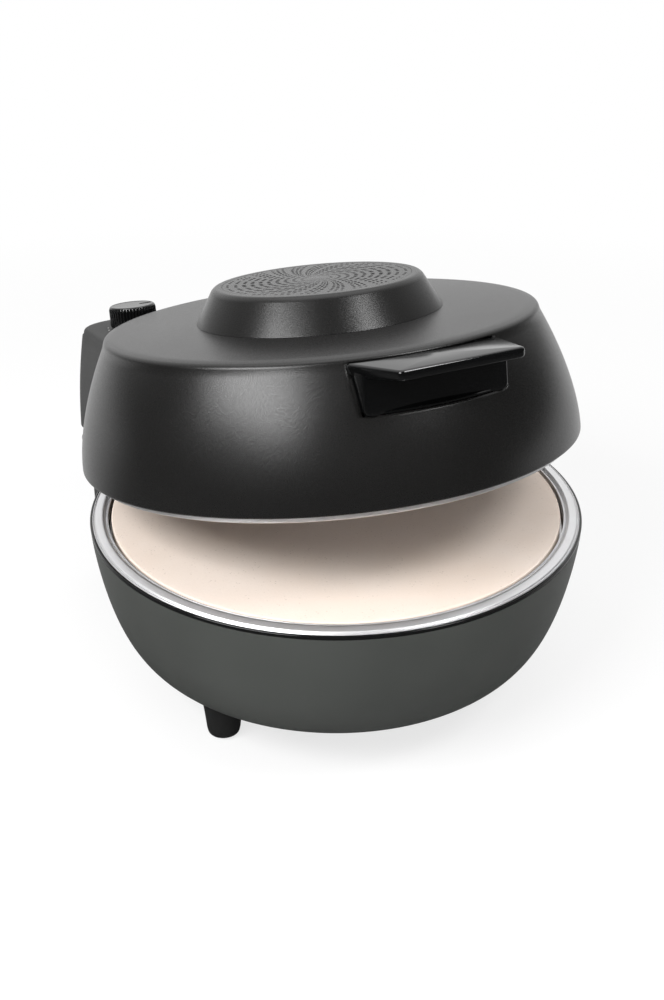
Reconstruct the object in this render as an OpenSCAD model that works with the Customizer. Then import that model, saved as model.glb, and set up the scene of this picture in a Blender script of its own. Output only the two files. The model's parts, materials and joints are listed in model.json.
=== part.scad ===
// Countertop pizza oven: a bowl-shaped base with a baking stone, and a hinged lid.
// The lid carries a vent cap, a shelf handle and a control housing with one knob.
// Millimetres. The feet stand on z = 0, and the front faces -Y.

/* [Baking stone] */
// Radius of the baking stone
stone_r = 152.5; // [135:0.5:190]
// Thickness of the baking stone
stone_t = 10; // [6:0.5:16]
// Height of the stone's top above the outer edge of the rim
stone_rise = 0.6; // [0:0.1:4]
// Gap between the stone and the pan around it
stone_gap = 2.2; // [0.6:0.1:3]

/* [Base] */
// Height of the feet, from the table to the flat bottom of the bowl
foot_h = 30; // [22:1:45]
// Depth of the bowl below the outer edge of the rim
bowl_depth = 98; // [82:1:130]
// Radius of the flat bottom of the bowl
bowl_floor_r = 98; // [90:1:115]
// How late the bowl's side starts to turn in: more keeps it upright for longer
bowl_swell = 1.3; // [1.1:0.1:2.4]
// How square the bowl's side meets its bottom: 2 is round, more is squarer
bowl_square = 4.4; // [2:0.1:5]
// Sheet thickness of the bowl
bowl_wall = 1.2; // [0.8:0.1:2.5]
// Radius of the service opening in the bottom of the bowl
service_r = 70; // [50:1:82]
// Radial width of the sloping rim band
rim_band = 6.5; // [4:0.5:9]
// Radial width of the black lip outside the rim
lip_w = 1.6; // [0.8:0.1:4]
// Height of the black lip
lip_h = 2.6; // [2.2:0.1:6]
// Depth of the reflector pan below the rim
pan_depth = 40; // [32:1:60]
// Sheet thickness of the pan, the rim and the liner
sheet_t = 0.8; // [0.5:0.1:1.5]

/* [Feet] */
// Distance of the feet from the bowl's axis
foot_ring_r = 115; // [95:1:125]
// Angle of the two front feet from the front
front_foot_angle = 67.6; // [45:0.1:80]
// Angle of the two rear feet from the front
rear_foot_angle = 150; // [120:1:155]
// Radius of a foot at its top
foot_top_r = 14; // [11:0.5:18]
// Radius of a foot near its bottom
foot_low_r = 11.2; // [9:0.2:15]
// Radius of the rubber pad under a foot
pad_r = 8; // [5:0.5:9]

/* [Lid] */
// Angle of the lid above closed, as it stands
lid_open = 11; // [0:0.5:60]
// Height of the flat top of the lid above the rim
lid_h = 92; // [78:1:115]
// How far the lid's upper edge stands in from its widest part
lid_top_in = 25.1; // [16:0.1:34]
// Power of the curve of the lid's side
lid_power = 1.65; // [1.3:0.05:2.2]
// Height of the lid's light ring above the rim
ring_low = 3.2; // [3:0.1:6]
// Height of the lower edge of the lid's shell above the rim
shell_low = 7.6; // [6.5:0.1:10]
// Sheet thickness of the lid's shell
lid_wall = 0.8; // [0.6:0.1:2.5]
// Rise of the lid's top from its edge to its middle
lid_crown = 2.6; // [0:0.2:6]
// Height of the liner's roof above the rim
liner_h = 64; // [52:1:72]

/* [Vent cap] */
// Radius of the cap where it meets the lid
cap_low_r = 80.7; // [65:0.5:100]
// Radius of the cap's upper edge
cap_top_r = 68.2; // [50:0.5:80]
// Height of the cap above the lid's top
cap_h = 22.4; // [15:0.2:35]
// Radius of the perforated disc
grille_r = 62; // [45:0.5:64]
// Thickness of the perforated disc
grille_t = 1.2; // [0.8:0.1:2]

/* [Handle] */
// Half the width of the handle plate at the lid
handle_back_w = 49; // [40:1:60]
// Half the width of the handle plate at its front edge
handle_front_w = 40; // [32:1:50]
// Distance of the handle's front edge beyond the lid's upper edge
handle_out = 39.5; // [35:0.5:54]
// Thickness of the handle plate
handle_t = 6.2; // [5:0.1:9]
// Height of the handle's body below its plate
handle_body_h = 23.4; // [18:0.2:30]
// Half the width of the handle's body
handle_body_w = 47.5; // [38:0.5:54]
// Distance of the body's flat front beyond the lid's upper edge
handle_face_out = 8.5; // [5:0.5:12]

/* [Control housing] */
// How far the housing's sides stand in from the lid's widest part, at the housing's top
tower_top_in = 52.9; // [42:0.1:62]
// The same at half the housing's height, where its sides bulge
tower_mid_in = 46.8; // [38:0.1:56]
// The same at the housing's bottom
tower_low_in = 43.4; // [36:0.1:50]
// How much wider the housing's top is where it meets the lid, on each side
tower_flare = 6; // [0:0.5:10]
// Distance of the housing's rear edge beyond the lid's widest part, at its top
tower_rear_out = 28.4; // [22:0.1:39]
// Height of the housing's top above the rim
tower_top = 78; // [66:1:86]
// Height of the housing's bottom above the rim
tower_low = 3.5; // [2:0.5:8]
// Radius of the housing's rear corners
tower_corner = 29; // [12:1:40]
// Wall of the housing
tower_wall = 2.5; // [1.8:0.1:4]

/* [Knob] */
// Radius of the knob
knob_r = 17; // [12:0.5:20]
// Height of the knob
knob_h = 15; // [10:0.5:20]
// Angle of the knob, left of the rear
knob_angle = 28.4; // [20:0.1:30]
// Gap between the thermostat under the knob and the lid's side
knob_clear = 2.8; // [1.5:0.1:8]
// Radius of the thermostat's shaft
shaft_r = 3; // [2:0.25:4]

/* [Hinge] */
// Distance of the hinge axis behind the rim
hinge_back = 34; // [28:1:40]
// Depth of the hinge axis below the rim
hinge_drop = 12.5; // [10:0.5:18]
// Radius of the hinge pins
pin_r = 3; // [2:0.25:4]
// Radius of the hinge's eyes
eye_r = 8; // [6:0.5:8]
// Half the width of the base's hinge housing
mount_w = 114; // [104:1:125]
// Depth of the hinge housing's top below the rim
mount_top = 25; // [22:1:32]
// Depth of the hinge housing's bottom below the rim
mount_low = 85; // [70:1:92]
// Wall of the hinge housing
mount_wall = 3; // [2:0.2:5]
// Width of one ear of the hinge housing
ear_w = 16; // [10:1:20]
// Radius of the hole for the mains cord
cord_r = 3.6; // [3:0.1:4.5]

/* [Heaters] */
// Radius of the tube of both heating elements
tube_r = 3.25; // [2.5:0.25:4.5]
// Radius of the lower heating ring
lower_heater_r = 95; // [70:1:110]
// Radius of the upper heating ring
upper_heater_r = 100; // [75:1:115]
// Half the distance between a heater's two legs
leg_x = 17; // [12:1:24]

/* [Fits] */
// Radial clearance of a turning fit
run_fit = 0.05; // [0.02:0.01:0.1]
// Gap between pieces that move past each other
move_gap = 0.3; // [0.2:0.05:0.6]
// Gap between fixed pieces
seat_gap = 0.1; // [0.05:0.05:0.3]

/* [Hidden] */
$fn = 96;
eps = 0.01;
big = 400;

// Radial play of a screw in a clearance hole
screw_play = 0.2;

// Heights above the table
rim_z = foot_h + bowl_depth;
lip_z = rim_z - lip_h;
stone_z = rim_z + stone_rise - stone_t;
pan_floor_z = rim_z - pan_depth;

// Radii of the rim, from the stone outwards
pan_r = stone_r + stone_gap;
inner_lip_w = 0.8;
channel_w = 2.2;
bead_w = 1;
channel_r = pan_r + inner_lip_w + channel_w;
bead_r = channel_r + bead_w;
rim_r = bead_r + rim_band;
bead_z = 2.4;
channel_z = 0.2;
inner_lip_z = 0.9;
lip_r = rim_r + lip_w;
bowl_r = lip_r - 0.1;

// Radii of the lid: its widest part and its upper edge
lid_r = rim_r + 0.9;
lid_top_r = lid_r - lid_top_in;

// The control housing and the handle keep their places on the lid when it grows
tower_top_w = lid_r - tower_top_in;
tower_mid_w = lid_r - tower_mid_in;
tower_low_w = lid_r - tower_low_in;
tower_rear = lid_r + tower_rear_out;
handle_reach = lid_top_r + handle_out;
handle_face_y = lid_top_r + handle_face_out;

// The hinge axis, and the middle of the whole part's depth
hinge_y = rim_r + hinge_back;
hinge_z = rim_z - hinge_drop;
rear_y = hinge_y + (tower_rear - hinge_y) * cos(lid_open) + (tower_top + hinge_drop) * sin(lid_open);
mid_y = (rear_y - lip_r) / 2;

// Pieces of the base and of the lid stand in a frame whose Z axis is the bowl's axis
module on_base() {
  translate([0, -mid_y, 0]) children();
}

module on_lid() {
  translate([0, hinge_y - mid_y, hinge_z]) rotate([-lid_open, 0, 0])
    translate([0, -hinge_y, -hinge_z]) children();
}

// ---- Profiles: lists of [radius, height] ----

// Quarter of an uneven superellipse from the bowl's upper edge to its flat bottom, drawn in by d
function bowl_side(d, n) = [
  for (i = [0:n])
    let (a = 90 * i / n)
    [
      bowl_floor_r + (bowl_r - d - bowl_floor_r) * pow(cos(a), 2 / bowl_square),
      lip_z - (lip_z - foot_h - d) * pow(sin(a), 2 / bowl_swell)
    ]
];

bowl_steps = 14;

// Height of the bowl's outer surface at radius r
function bowl_z(r) = lip_z - (lip_z - foot_h)
  * pow(1 - pow(max(0, r - bowl_floor_r) / (bowl_r - bowl_floor_r), bowl_square), 1 / bowl_swell);

function reversed(p) = [for (i = [len(p) - 1:-1:0]) p[i]];
function lowered(p, d) = [for (q = p) [q[0], q[1] - d]];
function drawn_in(p, d) = [for (q = p) [q[0] - d, q[1]]];

// The lid's side, from its shoulder to the start of the rounded upper edge
shoulder_z = 9.6;
edge_round = 5;
side_top_z = lid_h - edge_round;
function lid_side_r(z) = lid_r - (lid_r - lid_top_r)
  * pow(max(0, z - shoulder_z) / (lid_h - 2 - shoulder_z), lid_power);
function lid_side(n) = [
  for (i = [0:n])
    let (z = shoulder_z + (side_top_z - shoulder_z) * i / n)
    [lid_side_r(z), rim_z + z]
];
function lid_top_z(r) = rim_z + lid_h + lid_crown * (1 - pow(r / lid_top_r, 2));

// The whole outer profile of the lid's shell, from its lower edge to the hole under the cap
shell_tuck = 1.6;
lid_hole_r = grille_r - 6;
lid_steps = 12;
lid_outer = concat(
  [[lid_r - shell_tuck, rim_z + shell_low], [lid_r - 0.5, rim_z + shell_low + 0.7]],
  lid_side(lid_steps),
  [
    [lid_top_r + 0.1, rim_z + lid_h - 2.2],
    [lid_top_r - 1.9, rim_z + lid_h - 0.7],
    [lid_top_r - 5, lid_top_z(lid_top_r - 5)],
    [(lid_top_r + cap_low_r) / 2, lid_top_z((lid_top_r + cap_low_r) / 2)],
    [cap_low_r, lid_top_z(cap_low_r)],
    [lid_hole_r, lid_top_z(lid_hole_r)]
  ]
);
lid_inner = concat(
  [[lid_r - shell_tuck - lid_wall, rim_z + shell_low], [lid_r - 0.5 - lid_wall, rim_z + shell_low + 0.7]],
  drawn_in(lid_side(lid_steps), lid_wall),
  [
    [lid_top_r + 0.1 - lid_wall, rim_z + lid_h - 2.2 - lid_wall],
    [lid_top_r - 2.2 - lid_wall / 2, rim_z + lid_h - 0.9 - lid_wall],
    [lid_top_r - 5.4, lid_top_z(lid_top_r - 5) - lid_wall],
    [(lid_top_r + cap_low_r) / 2, lid_top_z((lid_top_r + cap_low_r) / 2) - lid_wall],
    [cap_low_r, lid_top_z(cap_low_r) - lid_wall],
    [lid_hole_r, lid_top_z(lid_hole_r) - lid_wall]
  ]
);

// A solid of revolution that fills the space inside the bowl's outer surface, grown by g
module bowl_space(g) {
  rotate_extrude() polygon(concat(bowl_side(-g, bowl_steps), [[0, foot_h - g], [0, lip_z + 2],
    [bowl_r + g, lip_z + 2]]));
}

// The same for the lid, grown by g
module lid_space(g) {
  rotate_extrude() polygon(concat(
    [[0, rim_z - 1], [lid_r + g, rim_z - 1]],
    [for (q = lid_side(lid_steps)) [q[0] + g, q[1]]],
    [[lid_top_r + g, rim_z + lid_h + g], [0, rim_z + lid_h + g]]
  ));
}

// Places at the given angles from the front, on a circle
module around(angles, r) {
  for (a = angles) rotate([0, 0, a - 90]) translate([r, 0, 0]) children();
}

// A long bore along +Y, for cutting
module bore_y(r, sides = 32) {
  rotate([-90, 0, 0]) cylinder(r = r, h = big / 2, $fn = sides);
}

// A screw whose head's underside lies at z = 0, with its shank below
module screw(shank_r, shank_l, head_r, head_h) {
  union() {
    cylinder(r = head_r, h = head_h, $fn = 32);
    translate([0, 0, -shank_l]) cylinder(r = shank_r, h = shank_l + eps, $fn = 32);
  }
}

module rounded_box(w, y0, y1, r, z0, h) {
  translate([0, 0, z0]) linear_extrude(height = h) union() {
    translate([-w, y0]) square([2 * w, y1 - y0 - r]);
    translate([-w + r, y0]) square([2 * (w - r), y1 - y0]);
    for (s = [-1, 1]) translate([s * (w - r), y1 - r]) circle(r = r, $fn = 48);
  }
}

// ---- Base ----

module base_shell() {
  color("dimgray") on_base() difference() {
    rotate_extrude() polygon(concat(
      bowl_side(0, bowl_steps),
      [[service_r, foot_h], [service_r, foot_h + bowl_wall]],
      reversed(bowl_side(bowl_wall, bowl_steps))
    ));
    around(foot_angles, foot_ring_r) translate([0, 0, foot_h - 2])
      cylinder(r = foot_screw_r + screw_play, h = 12, $fn = 32);
    around(plate_screw_angles, plate_screw_ring) translate([0, 0, foot_h - 2])
      cylinder(r = small_screw_r + screw_play, h = 6, $fn = 32);
    for (s = [-1, 1]) translate([s * mount_screw_x, 0, mount_screw_z]) bore_y(foot_screw_r + screw_play);
    for (s = [-1, 1]) translate([s * leg_x, 0, lead_z]) bore_y(lead_r + 2);
  }
}

module lip_trim() {
  color("black") on_base() rotate_extrude() polygon([
    [bowl_r - bowl_wall - 0.8, lip_z + seat_gap],
    [lip_r - 0.2, lip_z + seat_gap],
    [lip_r, rim_z - lip_h / 2 - 0.2],
    [lip_r - 0.1, rim_z - 0.6],
    [lip_r - 0.5, rim_z],
    [rim_r + 0.1, rim_z],
    [rim_r + 0.1, rim_z - 1.3],
    [bowl_r - bowl_wall - 0.8, rim_z - 1.3]
  ]);
}

module rim_ring() {
  top = [
    [rim_r, rim_z],
    [rim_r - rim_band / 2, rim_z + bead_z * 0.6],
    [bead_r, rim_z + bead_z],
    [channel_r, rim_z + bead_z - 0.2],
    [pan_r + inner_lip_w, rim_z + channel_z],
    [pan_r + inner_lip_w / 2, rim_z + inner_lip_z],
    [pan_r, rim_z + inner_lip_z]
  ];
  color("silver") on_base() rotate_extrude() polygon(concat(top, reversed(lowered(top, sheet_t))));
}

module stone_pan() {
  shelf_w = 10;
  slope_w = 22;
  wall_top = rim_z + channel_z - sheet_t - seat_gap;
  outer = [
    [pan_r + sheet_t, wall_top],
    [pan_r + sheet_t, stone_z - sheet_t],
    [pan_r - shelf_w, stone_z - sheet_t],
    [pan_r - shelf_w - slope_w, pan_floor_z],
    [0, pan_floor_z]
  ];
  inner = [
    [pan_r, wall_top],
    [pan_r, stone_z],
    [pan_r - shelf_w - sheet_t, stone_z],
    [pan_r - shelf_w - slope_w - sheet_t / 2, pan_floor_z + sheet_t],
    [0, pan_floor_z + sheet_t]
  ];
  color("lightgray") on_base() difference() {
    rotate_extrude() polygon(concat(outer, reversed(inner)));
    for (s = [-1, 1]) translate([s * leg_x, 0, lower_heater_z]) bore_y(tube_r + 0.4, 48);
  }
}

module baking_stone() {
  chamfer = 0.8;
  color("antiquewhite") on_base() rotate_extrude() polygon([
    [0, stone_z], [stone_r - chamfer, stone_z], [stone_r, stone_z + chamfer],
    [stone_r, stone_z + stone_t - chamfer], [stone_r - chamfer, stone_z + stone_t], [0, stone_z + stone_t]
  ]);
}

// A heating ring with a gap at the rear and two straight legs along +Y, joined by slightly wider elbows
elbow_grow = 0.25;
elbow_sink = 0.5;
module heating_tube(r, z, leg_end) {
  gap = asin((leg_x - elbow_sink) / r);
  leg_y = r * cos(asin(leg_x / r));
  elbow_r = tube_r + elbow_grow;
  rotate([0, 0, 90 + gap]) translate([0, 0, z]) rotate_extrude(angle = 360 - 2 * gap)
    translate([r, 0]) circle(r = tube_r, $fn = 32);
  for (s = [-1, 1]) translate([s * leg_x, leg_y, z]) {
    translate([0, 0, -elbow_r]) cylinder(r = elbow_r, h = 2 * elbow_r, $fn = 32);
    translate([0, -elbow_sink, 0]) rotate([-90, 0, 0]) cylinder(r = tube_r, h = leg_end - leg_y + elbow_sink, $fn = 32);
  }
}

lower_heater_z = rim_z - pan_depth * 0.62;
lower_leg_end = pan_r - 14;
heater_pin_r = 1.2;
lower_pin_l = 6;
upper_pin_l = 2.4;
module lower_heater() {
  color("gray") on_base() union() {
    heating_tube(lower_heater_r, lower_heater_z, lower_leg_end);
    for (s = [-1, 1]) translate([s * leg_x, lower_leg_end - eps, lower_heater_z])
      rotate([-90, 0, 0]) cylinder(r = heater_pin_r, h = lower_pin_l, $fn = 32);
  }
}

clip_angles = [-60, 60, 0];
module heater_clip(r, z, floor_z) {
  clip_w = 8;
  difference() {
    translate([-clip_w / 2, -1.5, floor_z]) cube([clip_w, 3, z - floor_z]);
    translate([-r, 0, z]) rotate_extrude() translate([r, 0]) circle(r = tube_r + seat_gap, $fn = 32);
  }
}

module lower_heater_clips() {
  color("silver") on_base() around(clip_angles, lower_heater_r)
    heater_clip(lower_heater_r, lower_heater_z, pan_floor_z + sheet_t);
}

module base_insulation() {
  blanket_t = 14;
  blanket_r = pan_r - 42;
  blanket_hole_r = 22;
  color("ivory") on_base() translate([0, 0, pan_floor_z - blanket_t - seat_gap]) difference() {
    cylinder(r = blanket_r, h = blanket_t);
    translate([0, 0, -1]) cylinder(r = blanket_hole_r, h = blanket_t + 2);
    translate([base_cutout_x, base_cutout_y, -1]) cylinder(r = cutout_l / 2 + 2, h = blanket_t + 2);
  }
}

plate_t = 1.2;
small_screw_r = 1.75;
small_head_r = 3.4;
small_head_h = 1.8;
plate_screw_ring = service_r + 5;
plate_screw_angles = [45, 135, 225, 315];
module bottom_plate() {
  slot_r = 2.5;
  color("silver") on_base() difference() {
    translate([0, 0, foot_h - plate_t]) cylinder(r = service_r + 10, h = plate_t);
    around(plate_screw_angles, plate_screw_ring) translate([0, 0, foot_h - 5])
      cylinder(r = small_screw_r + screw_play, h = 10, $fn = 32);
    around([for (i = [0:11]) i * 30], service_r * 0.6) translate([0, 0, foot_h - 5])
      cylinder(r = slot_r, h = 10, $fn = 32);
    around([for (i = [0:5]) i * 60], service_r * 0.3) translate([0, 0, foot_h - 5])
      cylinder(r = slot_r, h = 10, $fn = 32);
  }
}

module bottom_plate_screws() {
  color("gray") on_base() around(plate_screw_angles, plate_screw_ring)
    translate([0, 0, foot_h - plate_t]) mirror([0, 0, 1]) screw(small_screw_r, 6, small_head_r, small_head_h);
}

foot_screw_r = 2;
foot_angles = [-front_foot_angle, front_foot_angle, -rear_foot_angle, rear_foot_angle];
foot_low_z = 1.2;
pad_t = 3;
module foot(angle) {
  color("black") on_base() difference() {
    around([angle], foot_ring_r) rotate_extrude() polygon([
      [0, foot_low_z], [foot_low_r - 2.6, foot_low_z], [foot_low_r - 1, foot_low_z + 0.9],
      [foot_low_r, foot_low_z + 3.2], [foot_top_r, foot_h], [foot_top_r, foot_h + 8], [0, foot_h + 8]
    ]);
    bowl_space(seat_gap);
    around([angle], foot_ring_r) translate([0, 0, -1])
      cylinder(r = pad_r + seat_gap, h = pad_t + 1, $fn = 48);
    around([angle], foot_ring_r) translate([0, 0, foot_h - 20])
      cylinder(r = foot_screw_r + seat_gap, h = 40, $fn = 32);
  }
}

module foot_pad(angle) {
  color("black") on_base() around([angle], foot_ring_r) cylinder(r = pad_r, h = pad_t, $fn = 48);
}

module foot_front_left() { foot(-front_foot_angle); }
module foot_front_right() { foot(front_foot_angle); }
module foot_rear_left() { foot(-rear_foot_angle); }
module foot_rear_right() { foot(rear_foot_angle); }
module foot_pad_front_left() { foot_pad(-front_foot_angle); }
module foot_pad_front_right() { foot_pad(front_foot_angle); }
module foot_pad_rear_left() { foot_pad(-rear_foot_angle); }
module foot_pad_rear_right() { foot_pad(rear_foot_angle); }

foot_screw_head_r = 4;
foot_screw_head_h = 2.6;
foot_screw_grip = 17;
foot_screw_z = bowl_z(foot_ring_r + foot_screw_head_r + 1) + bowl_wall + 0.8;
module foot_screws() {
  color("gray") on_base() around(foot_angles, foot_ring_r) translate([0, 0, foot_screw_z])
    screw(foot_screw_r, foot_screw_z - foot_h + foot_screw_grip, foot_screw_head_r, foot_screw_head_h);
}

// ---- Hinge housing on the rear of the bowl ----

mount_rear = hinge_y + eye_r;
mount_corner = 15;
mount_top_z = rim_z - mount_top;
mount_low_z = rim_z - mount_low;
mount_front = 90;
mount_boss_r = 5;
mount_screw_l = 22;
mount_screw_x = 60;
mount_screw_z = mount_low_z + 12;
lead_z = mount_low_z + 30;
gland_x = 70;
gland_y = mount_rear - 16;
gland_r = 7;
ear_x = mount_w - ear_w - 1;
module hinge_housing() {
  color("dimgray") on_base() difference() {
    union() {
      difference() {
        rounded_box(mount_w, mount_front, mount_rear, mount_corner, mount_low_z, mount_top_z - mount_low_z);
        rounded_box(mount_w - mount_wall, mount_front - 10, mount_rear - mount_wall, mount_corner - mount_wall,
          mount_low_z + mount_wall, mount_top_z - mount_low_z - 2 * mount_wall);
      }
      for (s = [-1, 1]) {
        translate([s * mount_screw_x, mount_front, mount_screw_z]) rotate([-90, 0, 0])
          cylinder(r = mount_boss_r, h = mount_rear - mount_wall + 1 - mount_front, $fn = 32);
        translate([s * (ear_x + ear_w / 2) - ear_w / 2, hinge_y - eye_r, mount_top_z - mount_wall])
          cube([ear_w, 2 * eye_r, hinge_z - mount_top_z + mount_wall]);
        translate([s * (ear_x + ear_w / 2) - ear_w / 2, hinge_y, hinge_z]) rotate([0, 90, 0])
          cylinder(r = eye_r, h = ear_w);
      }
    }
    bowl_space(seat_gap);
    translate([-mount_w, hinge_y, hinge_z]) rotate([0, 90, 0])
      cylinder(r = pin_r + run_fit, h = 2 * mount_w, $fn = 64);
    translate([gland_x, gland_y, mount_low_z - 1])
      cylinder(r = gland_r + seat_gap, h = mount_wall + 2, $fn = 64);
    for (s = [-1, 1]) translate([s * mount_screw_x, mount_front, mount_screw_z]) rotate([-90, 0, 0])
      cylinder(r = foot_screw_r + seat_gap, h = bowl_screw_r + 20 - mount_front, $fn = 32);
  }
}

module hinge_housing_screws() {
  inside_y = sqrt(pow(bowl_screw_r, 2) - pow(mount_screw_x, 2));
  color("gray") on_base() for (s = [-1, 1]) translate([s * mount_screw_x, inside_y - 5, mount_screw_z])
    rotate([90, 0, 0]) screw(foot_screw_r, mount_screw_l, foot_screw_head_r, foot_screw_head_h);
}
// Radius of the bowl where the hinge housing is screwed to it
bowl_screw_r = bowl_floor_r + (bowl_r - bowl_floor_r)
  * pow(1 - pow((lip_z - mount_screw_z) / (lip_z - foot_h), bowl_swell), 1 / bowl_square) - bowl_wall;

pin_head_r = 6.3;
pin_head_h = 4;
arm_w = 16;
washer_t = 1;
arm_x1 = ear_x - washer_t - move_gap;
arm_x0 = arm_x1 - arm_w;
arm_x = arm_x0 + arm_w / 2;
module hinge_pin(s) {
  color("silver") on_base() translate([0, hinge_y, hinge_z]) rotate([0, s * 90, 0]) union() {
    translate([0, 0, arm_x0 - 2]) cylinder(r = pin_r, h = ear_x + ear_w - arm_x0 + 2 + eps, $fn = 64);
    translate([0, 0, ear_x + ear_w]) cylinder(r = pin_head_r, h = pin_head_h - 1.2);
    translate([0, 0, ear_x + ear_w + pin_head_h - 1.2 - eps])
      cylinder(r1 = pin_head_r, r2 = pin_head_r - 1.4, h = 1.2);
  }
}
module hinge_pin_left() { hinge_pin(-1); }
module hinge_pin_right() { hinge_pin(1); }

module hinge_washers() {
  color("silver") on_base() for (s = [-1, 1]) translate([0, hinge_y, hinge_z]) rotate([0, s * 90, 0])
    translate([0, 0, ear_x - washer_t]) difference() {
      cylinder(r = eye_r - 0.6, h = washer_t, $fn = 64);
      translate([0, 0, -1]) cylinder(r = pin_r + run_fit, h = washer_t + 2, $fn = 64);
    }
}

gland_drop = 9;
module cord_gland() {
  flange_r = gland_r + 2.5;
  color("black") on_base() translate([gland_x, gland_y, mount_low_z]) difference() {
    union() {
      translate([0, 0, -2]) cylinder(r = flange_r, h = 2, $fn = 64);
      cylinder(r = gland_r, h = mount_wall + 4, $fn = 64);
      translate([0, 0, -gland_drop])
        cylinder(r1 = cord_r + 1.6, r2 = cord_r + 2.6, h = gland_drop - 2 + eps, $fn = 64);
    }
    translate([0, 0, -gland_drop - 1]) cylinder(r = cord_r, h = gland_drop + mount_wall + 7, $fn = 64);
  }
}

block_w = 34;
module terminal_block() {
  color("ivory") on_base() translate([-block_w / 2, mount_rear - mount_wall - 12, mount_low_z + mount_wall])
    difference() {
      cube([block_w, 12, 14]);
      for (i = [0:2]) translate([block_w * (i + 0.5) / 3, 6, 5]) cylinder(r = 2.4, h = 12, $fn = 32);
    }
}

// A thermal cut-out: a round can on a mounting strip, its strip at z = 0 and its can above
cutout_l = 24;
cutout_r = 8;
cutout_h = 9;
module cutout() {
  union() {
    cylinder(r = cutout_r, h = cutout_h, $fn = 48);
    translate([-cutout_l / 2, -4, 0]) cube([cutout_l, 8, 1]);
  }
}

base_cutout_x = 40;
base_cutout_y = 60;
module base_cutout() {
  color("dimgray") on_base()
    translate([base_cutout_x, base_cutout_y, pan_floor_z]) mirror([0, 0, 1]) cutout();
}

lead_r = 1.6;
module base_leads() {
  start_y = lower_leg_end + lower_pin_l + 0.2;
  color("white") on_base() for (s = [-1, 1]) translate([s * leg_x, 0, 0]) union() {
    translate([0, start_y + lead_r, lead_z]) cylinder(r = lead_r, h = lower_heater_z - lead_z, $fn = 24);
    translate([0, start_y, lead_z]) rotate([-90, 0, 0])
      cylinder(r = lead_r, h = mount_rear - mount_wall - 13 - start_y, $fn = 24);
  }
}

// ---- Lid ----

module lid_shell() {
  color([0.13, 0.13, 0.13]) on_lid() difference() {
    rotate_extrude() polygon(concat(lid_outer, reversed(lid_inner)));
    translate([-handle_body_w - seat_gap, -big, handle_low_z - seat_gap])
      cube([2 * (handle_body_w + seat_gap), big - handle_back_y, handle_top_z - handle_low_z + 2 * seat_gap]);
    translate([-handle_back_w - seat_gap, -big, plate_low_z - seat_gap])
      cube([2 * (handle_back_w + seat_gap), big - handle_back_y, handle_t + 2 * seat_gap]);
    around(cap_screw_angles, cap_screw_ring) translate([0, 0, rim_z + lid_h - 6])
      cylinder(r = small_screw_r + screw_play, h = 14, $fn = 32);
    for (s = [-1, 1], z = arm_screw_heights)
      translate([s * arm_x, 0, rim_z + z]) bore_y(foot_screw_r + screw_play);
    for (s = [-1, 1]) translate([s * leg_x, 0, upper_heater_z]) bore_y(lead_r + 2);
  }
}

ring_out_r = lid_r - 6;
ring_t = 1;
liner_r = ring_out_r - 8;
module lid_ring() {
  top_r = lid_r - shell_tuck - lid_wall / 2;
  color("lightgray") on_lid() rotate_extrude() polygon([
    [liner_r - ring_t, rim_z + ring_low], [ring_out_r, rim_z + ring_low], [top_r, rim_z + shell_low - seat_gap],
    [top_r - 2 * ring_t, rim_z + shell_low - seat_gap], [ring_out_r - ring_t, rim_z + ring_low + ring_t],
    [liner_r - ring_t, rim_z + ring_low + ring_t]
  ]);
}

liner_roof_r = lid_top_r - 19;
liner_flat_r = lid_top_r - 35;
module lid_liner() {
  foot_z = rim_z + ring_low + ring_t + seat_gap;
  knee_z = rim_z + liner_h - 22;
  roof_z = rim_z + liner_h;
  vent_r = 32;
  outer = [
    [liner_r, foot_z], [liner_r - 3, (foot_z + knee_z) / 2], [liner_r - 9, knee_z],
    [liner_roof_r, roof_z - 4], [liner_flat_r, roof_z], [vent_r, roof_z]
  ];
  inner = [
    [liner_r - sheet_t, foot_z], [liner_r - 3 - sheet_t, (foot_z + knee_z) / 2],
      [liner_r - 9 - sheet_t, knee_z - sheet_t / 2],
    [liner_roof_r - sheet_t / 2, roof_z - 4 - sheet_t], [liner_flat_r, roof_z - sheet_t],
      [vent_r, roof_z - sheet_t]
  ];
  color("silver") on_lid() difference() {
    rotate_extrude() polygon(concat(outer, reversed(inner)));
    for (s = [-1, 1]) translate([s * leg_x, 0, upper_heater_z]) bore_y(tube_r + 0.4, 48);
  }
}

upper_heater_z = rim_z + liner_h - 16;
upper_leg_end = liner_r - 6;
module upper_heater() {
  color("gray") on_lid() union() {
    heating_tube(upper_heater_r, upper_heater_z, upper_leg_end);
    for (s = [-1, 1]) translate([s * leg_x, upper_leg_end - eps, upper_heater_z])
      rotate([-90, 0, 0]) cylinder(r = heater_pin_r, h = upper_pin_l, $fn = 32);
  }
}

module upper_heater_clips() {
  clip_w = 8;
  roof_z = rim_z + liner_h - sheet_t;
  color("silver") on_lid() around(clip_angles, upper_heater_r) difference() {
    translate([-clip_w / 2, -1.5, upper_heater_z - 5]) cube([clip_w, 3, roof_z - upper_heater_z + 5 - 0.1]);
    translate([-upper_heater_r, 0, upper_heater_z]) rotate_extrude() translate([upper_heater_r, 0])
      circle(r = tube_r + seat_gap, $fn = 32);
  }
}

module lid_insulation() {
  blanket_t = 12;
  blanket_r = liner_flat_r - 10;
  blanket_hole_r = 40;
  color("ivory") on_lid() translate([0, 0, rim_z + liner_h + seat_gap]) difference() {
    cylinder(r = blanket_r, h = blanket_t);
    translate([0, 0, -1]) cylinder(r = blanket_hole_r, h = blanket_t + 2);
    translate([lid_cutout_x, lid_cutout_y, -1]) cylinder(r = cutout_l / 2 + 2, h = blanket_t + 2);
  }
}

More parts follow.
